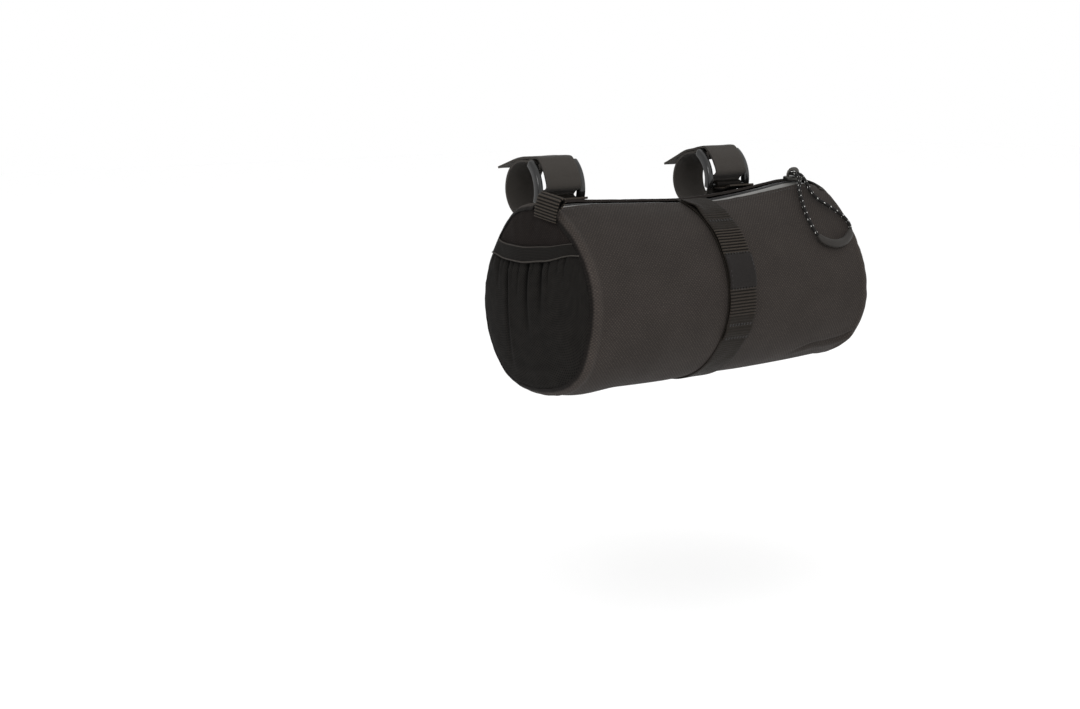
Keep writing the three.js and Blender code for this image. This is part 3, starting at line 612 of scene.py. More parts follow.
cord = {
    "diameter": 2.2,
    "steps": 150,
    "gripFrom": 0.385,
    "gripTo": 0.615,
    "gripWide": 5.0,
    "gripHigh": 4.4,
    "route": [
        (86.5, -44.9, 3.0), (86.3, -50.9, 2.2), (83.8, -56.2, -0.6), (77.9, -61.8, -6.0),
        (73.2, -69.4, -13.2), (70.4, -74.5, -18.5), (69.3, -79.0, -23.8), (69.0, -82.8, -28.8),
        (70.1, -85.9, -32.8), (72.9, -87.4, -35.5), (77.1, -88.5, -37.3), (82.5, -89.2, -38.2),
        (88.1, -88.9, -37.7), (93.5, -87.8, -35.8), (98.2, -85.6, -32.6), (101.2, -82.4, -28.6),
        (100.6, -78.4, -23.9), (96.8, -75.2, -19.7), (91.8, -72.6, -16.1), (87.4, -69.4, -12.6),
        (85.4, -64.6, -7.8), (87.4, -57.6, -1.2), (89.5, -50.9, 2.3), (89.4, -44.9, 3.1),
    ],
}


# Tube round a line of points: size(share) gives its half width and half height in mm
def tubeAlong(name, line, sides, size, capped=True):
    points = []
    texture = []
    reach = 0.0
    for i, point in enumerate(line):
        ahead = (line[min(i + 1, len(line) - 1)] - line[max(i - 1, 0)]).normalized()
        out = Vector((0, point.y - axisPoint.y, point.z - axisPoint.z)).normalized()
        side = ahead.cross(out).normalized()
        up = side.cross(ahead)
        wide, high = size(i / (len(line) - 1))
        if i:
            reach += (point - line[i - 1]).length
        for j in range(sides):
            turn = 2 * math.pi * j / sides
            points.append((point + side * wide * math.cos(turn) + up * high * math.sin(turn)) * mm)
        texture.append(reach)
    faces = []
    corners = []
    for i in range(len(line) - 1):
        for j in range(sides):
            k = (j + 1) % sides
            faces.append((i * sides + j, i * sides + k, (i + 1) * sides + k, (i + 1) * sides + j))
            u, w = j / sides, (j + 1) / sides
            corners += [(u, texture[i]), (w, texture[i]), (w, texture[i + 1]), (u, texture[i + 1])]
    if capped:
        last = (len(line) - 1) * sides
        faces.append(tuple(reversed(range(sides))))
        faces.append(tuple(range(last, last + sides)))
        corners += [(0, 0)] * (2 * sides)
    mesh = bpy.data.meshes.new(name)
    mesh.from_pydata(points, [], faces)
    layer = mesh.uv_layers.new(name="UVMap")
    for corner, place in zip(layer.data, corners):
        corner.uv = place
    obj = bpy.data.objects.new(name, mesh)
    bpy.context.scene.collection.objects.link(obj)
    return editAll(obj, lambda: bpy.ops.mesh.normals_make_consistent(inside=False))


def makeCord():
    line = smoothPath(cord["route"], cord["steps"])
    half = cord["diameter"] / 2
    rope = tubeAlong("pullerCord", line, 12, lambda share: (half, half))
    dress(rope, braid, "cord", "puller_cord")
    count = len(line) - 1
    part = smoothPath(line[round(count * cord["gripFrom"]) : round(count * cord["gripTo"]) + 1 : 3], 40)

    def gripSize(share):
        end = min(1.0, (1 - abs(2 * share - 1) ** 10)) ** 0.5
        swell = 1 + 0.06 * math.cos(2 * math.pi * (share - 0.5))
        return (
            max(cord["gripWide"] / 2 * swell * end, half + 0.35),
            max(cord["gripHigh"] / 2 * swell * end, half + 0.35),
        )

    grip = tubeAlong("pullGrip", part, 20, gripSize)
    dress(grip, softGrip, "grip_plastic", "pull_grip", angle=60)
    length = pathLength(line) * mm
    print("cord length", round(length, 4))


makeCord()
print("cord made")


# Main panel: one cloth round the drum, rolled in at both end seams and hemmed at the zip

panel = {
    "columns": 150,
    "rows": 240,
    "wall": 1.4,
    "rollWidth": 5.2,
    "rollDepth": 2.8,
    "welt": 0.7,  # the folded allowance stands up beside the end seams
    "hemWidth": 7.0,
    "hemRise": 0.45,
    "pucker": 0.5,
    "unevenness": 0.55,
    "overlap": 1.9,
    "crease": [(58, 142), (66, 137.5), (74, 134.5), (86.5, 133.5), (95, 131.5), (103, 126)],  # along and angle
}


def hemAngle(x):  # the front hem covers more of the pale tape left of the webbing
    return drum["slotFront"] - panel["overlap"] * ease((8 - x) / 16)


def crease(x, angle):  # a fold low at the right end, with the cloth standing out under it
    rows = panel["crease"]
    if not rows[0][0] < x:
        return 0.0
    at = rows[-1][1]
    for (a, low), (b, high) in zip(rows, rows[1:]):
        if a < x <= b:
            at = mix(low, high, (x - a) / (b - a))
    under = (angle - at) * drum["arc"]
    strength = ease((x - rows[0][0]) / 14) * ease((drum["half"] - x) / 9)
    fold = 0.9 * math.exp(-(((under - 4.5) / 3.5) ** 2)) - 1.5 * math.exp(-((under / 1.7) ** 2))
    return strength * (fold + 0.4 * math.exp(-(((under + 4) / 3) ** 2)))


def panelRise(x, angle):
    toSeam = drum["half"] - abs(x)
    toZip = min(angle - hemAngle(x), 360 + drum["slotRear"] - angle) * drum["arc"]
    rise = panel["unevenness"] * (lump(x, angle, 44, 1) + 0.35 * lump(x, angle, 17, 5))
    out = radial(angle) * 53.0
    rise += panel["pucker"] * math.exp(-toSeam / 8) * noise.noise(Vector((x / 40 + 9, out.y / 4.5, out.z / 4.5)))
    rise += panel["hemRise"] * (1 - ease(toZip / panel["hemWidth"])) + crease(x, angle)
    rise += 0.25 * math.exp(-toZip / 5) * noise.noise(Vector((x / 6, 4.0, toZip / 12)))
    rise += panel["welt"] * math.exp(-(((toSeam - 4.4) / 2.2) ** 2))
    roll = min(max(1 - toSeam / panel["rollWidth"], 0), 1)
    return rise - panel["rollDepth"] * (1 - math.sqrt(1 - roll * roll))


def makeMainPanel():
    half = drum["half"]
    first = 360 + drum["slotRear"]

    def place(u, v):
        x = mix(-half, half, denseAtEnds(u, 0.5))
        angle = mix(first, hemAngle(x), denseAtEnds(v, 0.3))
        return drumPoint(x, angle, panelRise(x, angle))

    cloth = clothGrid("mainPanel", panel["columns"], panel["rows"], (1, 1), place)
    for corner in cloth.data.uv_layers.active.data:
        u, v = corner.uv
        corner.uv = (2 * half * denseAtEnds(u, 0.5), 319 * denseAtEnds(v, 0.3))
    thicken(cloth, panel["wall"])
    dress(cloth, polyester, "woven_polyester", "main_panel", angle=50)


makeMainPanel()
print("main panel made")


# End panels

ends = {"dome": 4.0, "rings": 30, "segments": 170, "sink": 1.1, "pucker": 0.5, "unevenness": 0.7, "wall": 1.4}


def rimRadius(side, angle):
    return skin(side * drum["half"], angle) - drum["wall"] - drum["gap"]


def endHeight(side, share, angle):  # how far an end panel's face stands out from the seam plane
    out = radial(angle)
    height = ends["dome"] * (1 - share * share)
    height += ends["unevenness"] * (1 - share**4) * noise.noise(
        Vector((side * 3, out.y * share * 1.7, out.z * share * 1.7)))
    height += ends["pucker"] * ease((share - 0.55) / 0.4) * noise.noise(Vector((side * 7 + share * 1.3, out.y * 9, out.z * 9)))
    return height - ends["sink"] * ease((share - 0.93) / 0.07)


def makeEndPanel(side, name, nodeName):
    def place(u, v):
        share = 0.004 + 0.996 * u
        angle = 360 * (v if side < 0 else 1 - v)
        x = side * (drum["half"] + endHeight(side, share, angle))
        return (Vector((x, axisPoint.y, axisPoint.z)) + radial(angle) * rimRadius(side, angle) * share) * mm

    cloth = clothGrid(name, ends["rings"], ends["segments"], (1, 1), place)
    editAll(cloth, lambda: bpy.ops.mesh.remove_doubles(threshold=0.00002))
    editPicked(cloth, "vertices", lambda v: math.hypot(v.co.y - axisPoint.y * mm, v.co.z - axisPoint.z * mm) < 0.0006,
               lambda: bpy.ops.mesh.merge(type="CENTER"))
    editAll(cloth, lambda: bpy.ops.mesh.normals_make_consistent(inside=False))
    centre = min(cloth.data.polygons, key=lambda f: math.hypot(f.center.y - axisPoint.y * mm, f.center.z - axisPoint.z * mm))
    if centre.normal.x * side < 0:
        editAll(cloth, bpy.ops.mesh.flip_normals)
    for corner, loop in zip(cloth.data.uv_layers.active.data, cloth.data.loops):
        spot = cloth.data.vertices[loop.vertex_index].co / mm
        corner.uv = (spot.y, spot.z)
    thicken(cloth, ends["wall"])
    dress(cloth, shadedEndPolyester, "end_polyester", nodeName, angle=50)


makeEndPanel(-1, "endPanelLeft", "end_panel_left")
makeEndPanel(1, "endPanelRight", "end_panel_right")
print("end panels made")


# Mesh pocket over the lower part of the left end, with its elastic band

pocket = {
    "columns": 210,
    "rows": 100,
    "wall": 0.6,
    "fullness": 2.9,
    "bandHeight": 9.6,
    # across, height and share of the band's height, as shares of the mean seam radius from the drum's axis
    "bandRows": [
        (-0.74, 0.68, 1.0), (-0.42, 0.637, 1.0), (-0.08, 0.625, 1.0), (0.3, 0.65, 0.93), (0.72, 0.705, 0.76),
    ],
    # across from the drum's axis, half width, depth and how far down it fades
    "gathers": [
        (-36, 1.4, 0.8, 0.3), (-28.5, 1.5, 1.2, 0.35), (-23.5, 0.8, 0.7, 0.16), (-18.4, 1.5, 1.9, 0.9),
        (-13.2, 0.9, 0.8, 0.2), (-7.6, 1.2, 1.2, 0.3), (0.4, 2.1, 2.1, 0.62), (6.2, 0.8, 0.7, 0.16),
        (12.6, 2.0, 2.0, 0.46), (19.2, 1.2, 1.2, 0.26), (27, 1.2, 0.9, 0.22), (32.5, 1.5, 1.3, 0.34),
        (38, 1.2, 0.8, 0.2),
    ],
}
meanSeam = 51.7


def bandLine(across, down):  # height of a line down the band: 0 is its upper edge and 1 its lower edge
    rows = pocket["bandRows"]
    share = min(max(across / meanSeam, rows[0][0]), rows[-1][0])
    for (a, low, tallA), (b, high, tallB) in zip(rows, rows[1:]):
        if share <= b:
            t = (share - a) / (b - a)
            t = (t + ease(t)) / 2
            return meanSeam * mix(low, high, t) - down * pocket["bandHeight"] * mix(tallA, tallB, t)
    return meanSeam * rows[-1][1] - down * pocket["bandHeight"] * rows[-1][2]


def bandEnd(side, down):  # place across where such a line meets the main panel
    across = side * meanSeam * 0.75
    for _ in range(8):
        up = bandLine(across, down)
        rim = rimRadius(-1, math.degrees(math.atan2(across, up))) - 0.1
        across = side * math.sqrt(rim * rim - up * up)
    return across


def endPoint(across, up, height):
    angle = math.degrees(math.atan2(across, up))
    share = min(math.hypot(across, up) / rimRadius(-1, angle), 1.0)
    x = -(drum["half"] + endHeight(-1, share, angle) + height)
    return Vector((x, axisPoint.y - across, axisPoint.z + up)) * mm


def makePocket():
    back, front = bandEnd(-1, 1), bandEnd(1, 1)
    backAngle = 360 + math.degrees(math.atan2(back, bandLine(back, 1)))
    frontAngle = math.degrees(math.atan2(front, bandLine(front, 1)))

    def flatSpot(u, v):  # place across and up on the end, before the mesh takes its height
        across = mix(back, front, u)
        angle = mix(backAngle, frontAngle, u)
        rim = rimRadius(-1, angle) - 0.2
        return (
            mix(across, rim * math.sin(math.radians(angle)), 1 - v),
            mix(bandLine(across, 1) + 0.7, rim * math.cos(math.radians(angle)), 1 - v),
        )

    def gatherShade(u, v):  # how deep in a gather, 0..1, kept as the 'ribs' attribute for the painted shade on the mesh
        a, b = flatSpot(u, v)
        down = 1 - v
        depth = 0
        for spot, width, size, fade in pocket["gathers"]:
            fan = spot * (1 + 0.06 * down) + 1.6 * noise.noise(Vector((spot, down * 2.2, 0.5))) * down
            left = max(0, 1 - down / fade) ** 0.7
            depth += size / 2 * math.exp(-(((a - fan) / (width * (0.7 + 0.9 * down))) ** 2)) * left
        # painted shade just under the elastic band
        return min(depth + 0.5 * max(0, 1 - down / 0.05), 1.0)

    def place(u, v):
        down = 1 - v
        a, b = flatSpot(u, v)
        edge = min(1.0, 7 * min(down + 0.06, 1 - down, u + 0.01, 1.01 - u))
        height = 0.5 + pocket["fullness"] * math.sin(math.pi * min(1, 0.24 + 0.76 * down)) * edge
        for spot, width, depth, fade in pocket["gathers"]:
            fan = spot * (1 + 0.06 * down) + 1.6 * noise.noise(Vector((spot, down * 2.2, 0.5))) * down
            left = max(0, 1 - down / fade) ** 0.7
            height -= depth * math.exp(-(((a - fan) / (width * (0.8 + 0.9 * down))) ** 2)) * left * edge
            height += 0.4 * depth * math.exp(-(((a - fan - 2.3 * width) / (width * 1.2)) ** 2)) * left * edge
        height += 0.9 * edge * ease(down / 0.4) * noise.noise(Vector((a / 15, b / 26, 3.3)))
        height += 0.3 * edge * (1 - ease(down / 0.5)) * noise.noise(Vector((a / 3.2, b / 20, 1.3)))
        return endPoint(a, b, max(height, 0.25))

    cloth = clothGrid("meshPocket", pocket["columns"], pocket["rows"], (96, 62), place, gatherShade)
    thicken(cloth, pocket["wall"])
    dress(cloth, meshCloth, "pocket_mesh", "mesh_pocket", angle=60)

    def placeBand(u, v):
        down = 1 - v
        across = mix(bandEnd(-1, down), bandEnd(1, down), u)
        bow = math.sin(math.pi * u) * 0.8
        edge = min(down, 1 - down) * pocket["bandHeight"]
        lift = 1.05 * ease(edge / 0.7) + 0.15
        lift += 0.75 * math.exp(-(((down - 0.93) / 0.045) ** 2)) + 0.2 * math.exp(-(((down - 0.05) / 0.05) ** 2))
        pull = 0.24 * noise.noise(Vector((across / 2.4, down * 0.9, 1.5))) * ease((down - 0.4) / 0.6)
        return endPoint(across, bandLine(across, down), 0.4 + bow + lift + pull)

    band = clothGrid("pocketBand", 150, 34, (78, 9.6), placeBand)
    thicken(band, 0.8)
    dress(band, elastic, "elastic_binding", "pocket_band", angle=60)


makePocket()
print("mesh pocket made")


# Zip: laminated tapes, coil, end cover and slider

zipper = {"end": 106.4, "tapeWall": 0.7, "pitch": 1.3, "coilWide": 3.4, "coilHigh": 1.5, "garage": 9.0}


def makeTape(name, nodeName, material, slotName, hiddenAngle, coilAngle):
    low = -(drum["wall"] + drum["gap"])

    def place(u, v):
        x = mix(-zipper["end"], zipper["end"], u)
        angle = mix(max(hiddenAngle, coilAngle), min(hiddenAngle, coilAngle), v)
        near = 1 - min(abs(angle - coilAngle) / 4.5, 1)
        lift = low + 0.75 * ease(near) + 0.12 * noise.noise(Vector((x / 11, angle / 4, 2.0)))
        return drumPoint(x, angle, lift)

    width = abs(hiddenAngle - coilAngle) * drum["arc"]
    tape = clothGrid(name, 150, 12, (2 * zipper["end"], width), place)
    thicken(tape, zipper["tapeWall"])
    dress(tape, material, slotName, nodeName, angle=60)


def makeCoil():
    bpy.ops.mesh.primitive_torus_add(
        major_segments=12, minor_segments=6, major_radius=1, minor_radius=0.24, location=(0, 0, 0))
    turn = bpy.context.object
    editAll(
        turn,
        lambda: bpy.ops.transform.resize(value=(0.00172, 0.00072, 0.0015)),
        lambda: bpy.ops.transform.rotate(value=math.pi / 2, orient_axis="X", center_override=(0, 0, 0)),
        lambda: bpy.ops.transform.rotate(value=math.pi / 2, orient_axis="Z", center_override=(0, 0, 0)),
    )
    places = []
    count = round(2 * (zipper["end"] - 1) / zipper["pitch"])
    for i in range(count + 1):
        x = mix(-zipper["end"] + 1, zipper["end"] - 1, i / count)
        spin = Matrix.Rotation(math.radians(drum["zip"]), 4, "X")
        places.append(Matrix.Translation(drumPoint(x, drum["zip"], -2.15)) @ spin)
    coil = stampAlong("zipCoil", turn, places)
    editAll(coil, lambda: bpy.ops.mesh.normals_make_consistent(inside=False))
    dress(coil, coilNylon, "nylon_coil", "zip_coil", angle=70)


def makeGarage():
    def place(u, v):
        x = mix(drum["half"] - zipper["garage"], drum["half"] - 0.2, u)
        angle = mix(drum["slotFront"] + 5.0, drum["slotRear"] - 2.2, v)
        toEdge = min(u, 1 - u, v, 1 - v)
        toSeam = drum["half"] - x
        roll = min(max(1 - toSeam / panel["rollWidth"], 0), 1)
        sink = panel["rollDepth"] * (1 - math.sqrt(1 - roll * roll))
        return drumPoint(x, angle, 1.35 - 0.35 * (1 - ease(toEdge * 8)) - sink + 0.2 * lump(x, angle, 5, 2))

    cover = clothGrid("zipEndCover", 16, 26, (9, 20), place)
    thicken(cover, 0.8)
    dress(cover, elastic, "elastic_binding", "zip_garage", angle=60)


def makeSlider():
    slider = copyOfSolid("zip_slider", "zipSlider")
    addModifier(slider, "BEVEL", width=0.00025, segments=2, limit_method="ANGLE", angle_limit=math.radians(35))
    applyModifiers(slider)
    dress(slider, gunmetal, "slider_metal", "zip_slider", angle=35)


makeTape("zipTapeFront", "zip_tape_front", paleTape, "laminated_tape",
         drum["slotFront"] + drum["hidden"], drum["zip"] + drum["coilHalf"])
makeTape("zipTapeRear", "zip_tape_rear", darkTape, "dark_tape",
         drum["slotRear"] - drum["hidden"], drum["zip"] - drum["coilHalf"])
makeCoil()
makeGarage()
makeSlider()
print("zip made")


# Webbing down the front: a plain base layer and a ribbed upper layer held by bar tacks

strip = {
    "along": 0.0,
    "width": 20.5,
    "ribDepth": 0.42,
    "tacks": [17, 41, 65, 86, 108, 117],
    "loopLift": 0.6,
    "labelFrom": 65.5,
    "labelHeight": 18.5,
}


def loopHeight(angle):
    for a, b in zip(strip["tacks"], strip["tacks"][1:]):
        if a < angle < b:
            return strip["loopLift"] * math.sin(math.pi * (angle - a) / (b - a))
    return 0.0


def ribStrength(angle):  # strong where the photo shows clear ribs
    strength = 0.12
    for start, end, amount in ((33, 42, 0.3), (46.5, 66, 0.85), (84, 104, 0.6)):
        strength = max(strength, amount * ease((angle - start) / 3) * ease((end - angle) / 3))
    return strength


def ribbedStrip(name, nodeName, material, slotName, start, end, lift, wall, ribs, rowStep=0.33):
    length = (end - start) * drum["arc"]
    rows = round(length / rowStep)

    def place(u, v):
        across = (u - 0.5) * strip["width"]
        angle = mix(end, start, v)
        rib = ribs(angle) * strip["ribDepth"] * math.cos(2 * math.pi * v * length / ribPitch)
        edge = 0.3 * ease((abs(across) - strip["width"] / 2 + 0.9) / 0.9)
        wave = 0.18 * noise.noise(Vector((across / 7, angle / 7, 8.8)))
        return drumPoint(strip["along"] + across, angle, lift(across, angle) + rib - edge + wave)

    obj = clothGrid(
        name, 22, rows, (strip["width"], length), place, lambda u, v: ribs(mix(end, start, v)))
    thicken(obj, wall)
    return dress(obj, material, slotName, nodeName, angle=70)


def makeStrips():
    ribbedStrip("webbingBase", "webbing_base", webbing, "webbing", drum["zip"] + drum["coilHalf"], 206,
                lambda across, angle: 1.25, 0.9, lambda angle: 0.1)
    tacks = strip["tacks"]

    def loopsLift(across, angle):  # the left edge stands up in a wrinkle near the zip
        wrinkle = 1.3 * math.exp(-(((angle - 27) / 5) ** 2)) * ease((-across - 3) / 6)
        return 2.55 + loopHeight(angle) + wrinkle

    ribbedStrip("webbingLoops", "webbing_loops", webbing, "webbing", tacks[0] - 3, tacks[-1] + 1.5,
                loopsLift, 0.9, ribStrength)
    end = strip["labelFrom"] + strip["labelHeight"] / drum["arc"]
    middle = (strip["labelFrom"] + end) / 2

    def labelLift(across, angle):
        toEdge = min(strip["width"] / 2 - abs(across), (end - middle - abs(angle - middle)) * drum["arc"])
        return 3.5 + loopHeight(angle) - 0.3 * (1 - ease(toEdge / 1.0))

    ribbedStrip("labelPatch", "label_patch", patchCloth, "label_cloth", strip["labelFrom"], end,
                labelLift, 0.6, lambda angle: 0.0)


makeStrips()
print("webbing made")


# Bar straps, buckles and tabs: angles from the front, up over the bar

hang = {
    "straps": [("Left", "left", -76.28, -2.5, 6.0), ("Right", "right", 55.99, 5.0, 6.0)],
    "bar": 15.9,
    "width": 25.0,
    "wall": 1.3,
    "tail": 21.0,
    "rod": 1.3,
    "reach": 20.4,
    "high": 44.0,
    "low": -14.0,
    "armTop": 51.0,
    "armBottom": -16.0,
    "arm": 4.4,
    "depth": 4.6,
    "tabWidth": 20.0,
    "tabWall": 1.0,
}


def barPoint(angle, radius):
    return Vector((0, -radius * math.cos(math.radians(angle)), radius * math.sin(math.radians(angle))))


# Ribbon of webbing along a line in the plane across the bar; twist(u, share) adds a lift in mm
def ribbonAlong(name, line, width, wall, place, lift, columns=16, ribs=None):
    count = len(line) - 1

    def at(u, v):
        share = v * count
        i = min(int(share), count - 1)
        point = line[i].lerp(line[i + 1], share - i)
        before, after = line[max(i - 1, 0)], line[min(i + 2, count)]
        ahead = (after - before).normalized()
        out = Vector((0, -ahead.z, ahead.y))
        across = (u - 0.5) * width
        return place @ ((point + out * (wall / 2 + lift(across, v)) + Vector((across, 0, 0))) * mm)

    return clothGrid(name, columns, count, (width, pathLength(line)), at, ribs)


def strapLine(fold):
    gap = drum["gap"]
    inside = hang["bar"] + gap + hang["wall"] / 2
    second = inside + hang["wall"] + gap
    wrap = hang["rod"] + gap + hang["wall"] / 2
    front = hang["reach"] + wrap + hang["wall"] + gap
    high = barPoint(hang["high"], hang["reach"])
    line = []
    for i in range(9):
        angle = math.radians(180 + 22.5 * i - hang["high"])
        line.append(high + Vector((0, math.cos(angle), math.sin(angle))) * wrap)
    line += [barPoint(a, mix(hang["reach"] + wrap, inside, (i + 1) / 2.2)) for i, a in enumerate((62, 76))]
    line += [barPoint(mix(92, 340, i / 22), inside) for i in range(23)]
    line += [
        barPoint(349, inside),
        barPoint(354 + fold, inside + 2.6),
        barPoint(356.5 + fold, front - 1.6),
        barPoint(360 + fold, front + 0.1),
        barPoint(368 + fold, front + 0.2),
    ]
    line += [barPoint(360 + mix(18, 52, i / 4), front) for i in range(5)]
    line += [
        barPoint(426, mix(front, second, 0.55)), barPoint(440, mix(front, second, 0.9)),
        barPoint(453, second), barPoint(466, second),
    ]
    last = line[-1]
    line += [last + Vector((0, 0.95, -0.31)) * hang["tail"] * s for s in (0.35, 0.7, 1)]
    return smoothPath(line, 300)


def makeStrap(title, name, along, turn, fold):
    place = Matrix.Translation((along * mm, 0, 0)) @ Matrix.Rotation(math.radians(-turn), 4, "X")
    line = strapLine(fold)

    def lift(across, share):
        edge = 0.35 * ease((abs(across) - hang["width"] / 2 + 1.0) / 1.0)
        return 0.16 * noise.noise(Vector((across / 9, share * 24, along))) - edge * 0.5

    strap = ribbonAlong("barStrap" + title, line, hang["width"], hang["wall"], place, lift)
    thicken(strap, hang["wall"])
    dress(strap, pile, "hook_and_loop", "bar_strap_" + name, angle=60)


def makeBuckle(title, name, along, turn, fold):
    place = Matrix.Translation((along * mm, 0, 0)) @ Matrix.Rotation(math.radians(-turn), 4, "X")
    armX = hang["width"] / 2 + drum["gap"] + 0.4 + hang["arm"] / 2
    pieces = []
    for side in (-1, 1):
        bpy.ops.mesh.primitive_plane_add(size=1)
        arm = bpy.context.object
        start = hang["armBottom"] - 3
        sweep = hang["armTop"] - hang["armBottom"] + 6
        for vertex in arm.data.vertices:
            out = barPoint(start, hang["reach"] + vertex.co.y * hang["depth"])
            vertex.co = (Vector((side * armX + vertex.co.x * hang["arm"], 0, 0)) + out) * mm
        editAll(
            arm,
            lambda: bpy.ops.mesh.spin(steps=18, angle=math.radians(sweep), center=(0, 0, 0), axis=(1, 0, 0)),
            lambda: bpy.ops.mesh.select_all(action="SELECT"),
            lambda: bpy.ops.mesh.remove_doubles(threshold=0.00001),
            lambda: bpy.ops.mesh.normals_make_consistent(inside=False),
        )
        pieces.append(arm)
    for angle in (hang["high"], hang["low"]):
        spot = barPoint(angle, hang["reach"]) * mm
        bpy.ops.mesh.primitive_cylinder_add(
            vertices=24, radius=hang["rod"] * mm, depth=2 * armX * mm, location=spot, rotation=(0, math.pi / 2, 0))
        pieces.append(bpy.context.object)
    for piece in pieces:
        takeUp(piece)
        bpy.ops.object.transform_apply(location=True, rotation=True, scale=True)
    for piece in pieces[:2]:
        addModifier(piece, "BEVEL", width=0.0012, segments=4, limit_method="ANGLE", angle_limit=math.radians(40))
        applyModifiers(piece)
    takeUp(pieces[0])
    for piece in pieces[1:]:
        piece.select_set(True)
    bpy.ops.object.join()
    buckle = bpy.context.object
    buckle.name = buckle.data.name = "buckle" + title
    buckle.data.transform(place)
    dress(buckle, acetal, "buckle_plastic", "buckle_" + name, angle=40)


def makeTab(title, name, along, turn, fold):
    centre = barPoint(hang["low"] + turn, hang["reach"])
    wrap = hang["rod"] + drum["gap"] + hang["tabWall"] / 2

    def lie(angle, extra):
        under = max(skin(along + side * hang["tabWidth"] / 2, angle) for side in (-1, 0, 1))
        return axisPoint + radial(angle) * (under + drum["gap"] + hang["tabWall"] / 2 + extra)

    foot = drum["slotRear"] - 3
    line = [lie(foot, 0), lie(foot - 3, 0), lie(foot - 6, 0)]
    for i in range(10):
        angle = math.radians(mix(-100, 180, i / 9))
        line.append(centre + Vector((0, math.cos(angle), math.sin(angle))) * wrap)
    bend, start, end = line[2], line[3], centre.y - wrap
    legThere = mix(start.z, bend.z, (start.y - end) / (start.y - bend.y))
    line.append(Vector((0, end, max(centre.z - 0.8, legThere + hang["tabWall"] + 2 * drum["gap"]))))
    line = smoothPath(line, 130)

    def lift(across, share):
        return 0.16 * math.cos(2 * math.pi * share * pathLength(line) / ribPitch)

    place = Matrix.Translation((along * mm, 0, 0))
    tab = ribbonAlong(
        "strapTab" + title, line, hang["tabWidth"], hang["tabWall"], place, lift, ribs=lambda u, v: 0.8)
    thicken(tab, hang["tabWall"])
    dress(tab, webbing, "webbing", "strap_tab_" + name, angle=70)


for row in hang["straps"]:
    makeStrap(*row)
    makeBuckle(*row)
    makeTab(*row)
print("bar straps made")


# Grab tab: a loop of ribbed webbing that stands on the left end seam and leans to the front

grab = {
    "width": 20.0, "rise": 8.9, "lap": 4.8, "fold": 3.6, "angle": 14.7, "lean": -5.7, "wall": 1.0,
    "bow": 0.55,
    "inward": 0.26,  # how far its top leans in over the bag for each mm of height
}


def makeGrabTab():
    half = drum["half"]
    seam = skin(-half, grab["angle"])
    tilt = math.radians(grab["lean"])
    aside = -(seam - grab["lap"]) * math.sin(tilt)
    up = (seam - grab["lap"]) * math.cos(tilt)
    under = 0
    for i in range(7):
        spot = aside + grab["width"] * (i / 6 - 0.5)
        radius = skin(-half + grab["fold"], grab["angle"] + grab["lean"] + math.degrees(math.asin(spot / seam)))
        under = max(under, math.sqrt(radius * radius - spot * spot) - up)
    bend = (grab["fold"] + grab["wall"]) / 2
    outside = -(half + grab["bow"] + drum["gap"] + grab["wall"] / 2)
    middle = outside + bend
    top = grab["lap"] + grab["rise"] - grab["wall"] / 2 - bend
    line = [Vector((outside, 0, 0)), Vector((outside, 0, grab["lap"])), Vector((outside, 0, grab["lap"] + 0.4 * grab["rise"]))]
    for i in range(7):
        turn = math.radians(180 - 30 * i)
        line.append(Vector((middle + bend * math.cos(turn), 0, top + bend * math.sin(turn))))
    line.append(Vector((-half + grab["wall"] / 2, 0, under + drum["gap"] + grab["wall"] / 2)))
    line = smoothPath(line, 170)
    length = pathLength(line)
    count = len(line) - 1
    turned = (
        Matrix.Translation(axisPoint * mm)
        @ Matrix.Rotation(math.radians(grab["angle"] + grab["lean"]), 4, "X")
        @ Matrix.Translation((0, 0, up * mm))
    )

    def place(u, v):
        share = v * count
        i = min(int(share), count - 1)
        point = line[i].lerp(line[i + 1], share - i)
        ahead = (line[min(i + 2, count)] - line[max(i - 1, 0)]).normalized()
        out = Vector((-ahead.z, 0, ahead.x))
        across = (0.5 - u) * grab["width"]
        rib = 0.26 * math.cos(2 * math.pi * v * length / ribPitch)
        edge = 0.3 * ease((abs(across) - grab["width"] / 2 + 0.8) / 0.8)
        side = Vector((grab["inward"] * max(point.z - grab["lap"] - 1, 0), across - aside, 0))
        return turned @ ((point + out * (grab["wall"] / 2 + rib - edge) + side) * mm)

    tab = clothGrid("grabTab", 22, count, (grab["width"], length), place, lambda u, v: 1.0)
    thicken(tab, grab["wall"])
    dress(tab, webbing, "webbing", "grab_tab", angle=70)


makeGrabTab()
print("grab tab made")


# Stitches: one short thread shape, repeated along each seam

stitch = {"length": 2.4, "gap": 0.8, "thick": 0.38}


def stitchPlaces(points, outs, bury=0.1):
    places = []
    for (a, b), out in zip(zip(points, points[1:]), outs):
        ahead = (b - a).normalized()
        side = out.cross(ahead).normalized()
        up = ahead.cross(side)
        size = (b - a).length / ((stitch["length"] + stitch["gap"]) * mm)
        turn = Matrix((ahead * size, side, up)).transposed().to_4x4()
        places.append(Matrix.Translation((a + b) / 2 - up * bury * mm) @ turn)
    return places


def makeStitches(name, places):
    bpy.ops.mesh.primitive_uv_sphere_add(segments=8, ring_count=6, radius=1, location=(0, 0, 0))
    seed = bpy.context.object
    editAll(
        seed,
        lambda: bpy.ops.transform.resize(
            value=(stitch["length"] / 2 * mm, stitch["thick"] / 2 * mm, stitch["thick"] / 2 * mm)),
    )
    obj = stampAlong(name, seed, places)
    dress(obj, thread, "woven_polyester", angle=80)


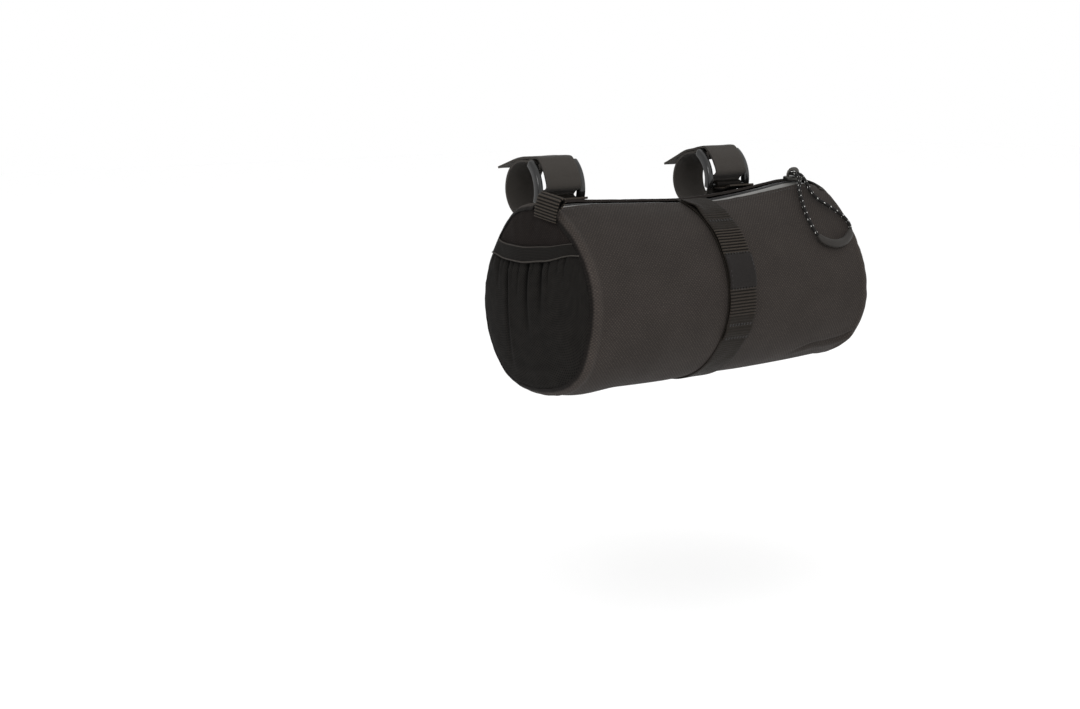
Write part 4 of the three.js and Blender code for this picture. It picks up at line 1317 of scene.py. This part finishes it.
def hemRow(angleAt, start, end):
    count = round((end - start) / (stitch["length"] + stitch["gap"]))
    spots = [(x, angleAt(x)) for x in (mix(start, end, i / count) for i in range(count + 1))]
    points = [drumPoint(x, angle, panelRise(x, angle)) for x, angle in spots]
    return stitchPlaces(points, [radial(angle) for x, angle in spots])


def makeSeams():
    offset = 2.4 / drum["arc"]
    rear = 360 + drum["slotRear"] - offset
    left, right = strip["along"] - strip["width"] / 2 - 1, strip["along"] + strip["width"] / 2 + 1
    rows = []
    for start, end in ((-104, left), (right, 98)):
        rows += hemRow(lambda x: hemAngle(x) + offset, start, end)
    for start, end in ((-104, -86), (-64, 45), (67, 98)):
        rows += hemRow(lambda x: rear, start, end)
    makeStitches("hemStitches", rows)


# Bar tacks across the webbing, and the stitched edge of the patch
def makeTacks():
    def sewn(spots, lift):
        outs = [radial(angle) for x, angle in spots]
        return stitchPlaces([drumPoint(x, angle, lift) for x, angle in spots], outs)

    half = strip["width"] / 2 - 1.2
    xs = [mix(-half, half, i / 8) for i in range(9)]
    places = []
    for angle in strip["tacks"][1:]:
        for shift in (-0.6, 0.0, 0.6):
            places += sewn([(strip["along"] + x, angle + shift) for x in xs], 2.75)
    top = strip["labelFrom"] + strip["labelHeight"] / drum["arc"]
    angles = [mix(strip["labelFrom"] + 0.8, top - 0.8, i / 7) for i in range(8)]
    for side in (-1, 1):
        column = [(strip["along"] + side * half, angle) for angle in angles]
        for a, b in zip(column, column[1:]):
            places += sewn([a, b], 3.5 + loopHeight((a[1] + b[1]) / 2))
    makeStitches("tackStitches", places)


makeSeams()
makeTacks()
print("stitches made")


# Floor, light and background

studio = {"floor": -0.24, "white": "#ffffff"}


def makeStudio():
    bpy.ops.mesh.primitive_plane_add(size=12, location=(0, 0, studio["floor"]))
    floor = bpy.context.object
    floor.name = "floor"
    material, tree, shader = newMaterial("paperSweep", studio["white"], 0.9)
    floor.data.materials.append(material)
    world = bpy.data.worlds.new("studio")
    bpy.context.scene.world = world
    world.use_nodes = True
    back = world.node_tree.nodes["Background"]
    back.inputs["Color"].default_value = (1, 1, 1, 1)
    back.inputs["Strength"].default_value = 1.0
    for name, spot, size, power in (
        ("keyLight", (-0.7, -1.5, 0.7), 0.6, 10),
        ("fillLight", (1.4, -1.2, 0.6), 1.4, 2),
        ("topLight", (0.1, 0.4, 1.6), 1.2, 1),
    ):
        lamp = bpy.data.lights.new(name, "AREA")
        lamp.size = size
        lamp.energy = power
        obj = bpy.data.objects.new(name, lamp)
        bpy.context.scene.collection.objects.link(obj)
        aim = Vector((0, -0.04, -0.05)) - Vector(spot)
        obj.matrix_world = Matrix.Translation(spot) @ aim.to_track_quat("-Z", "Y").to_matrix().to_4x4()


makeStudio()
print("studio made")
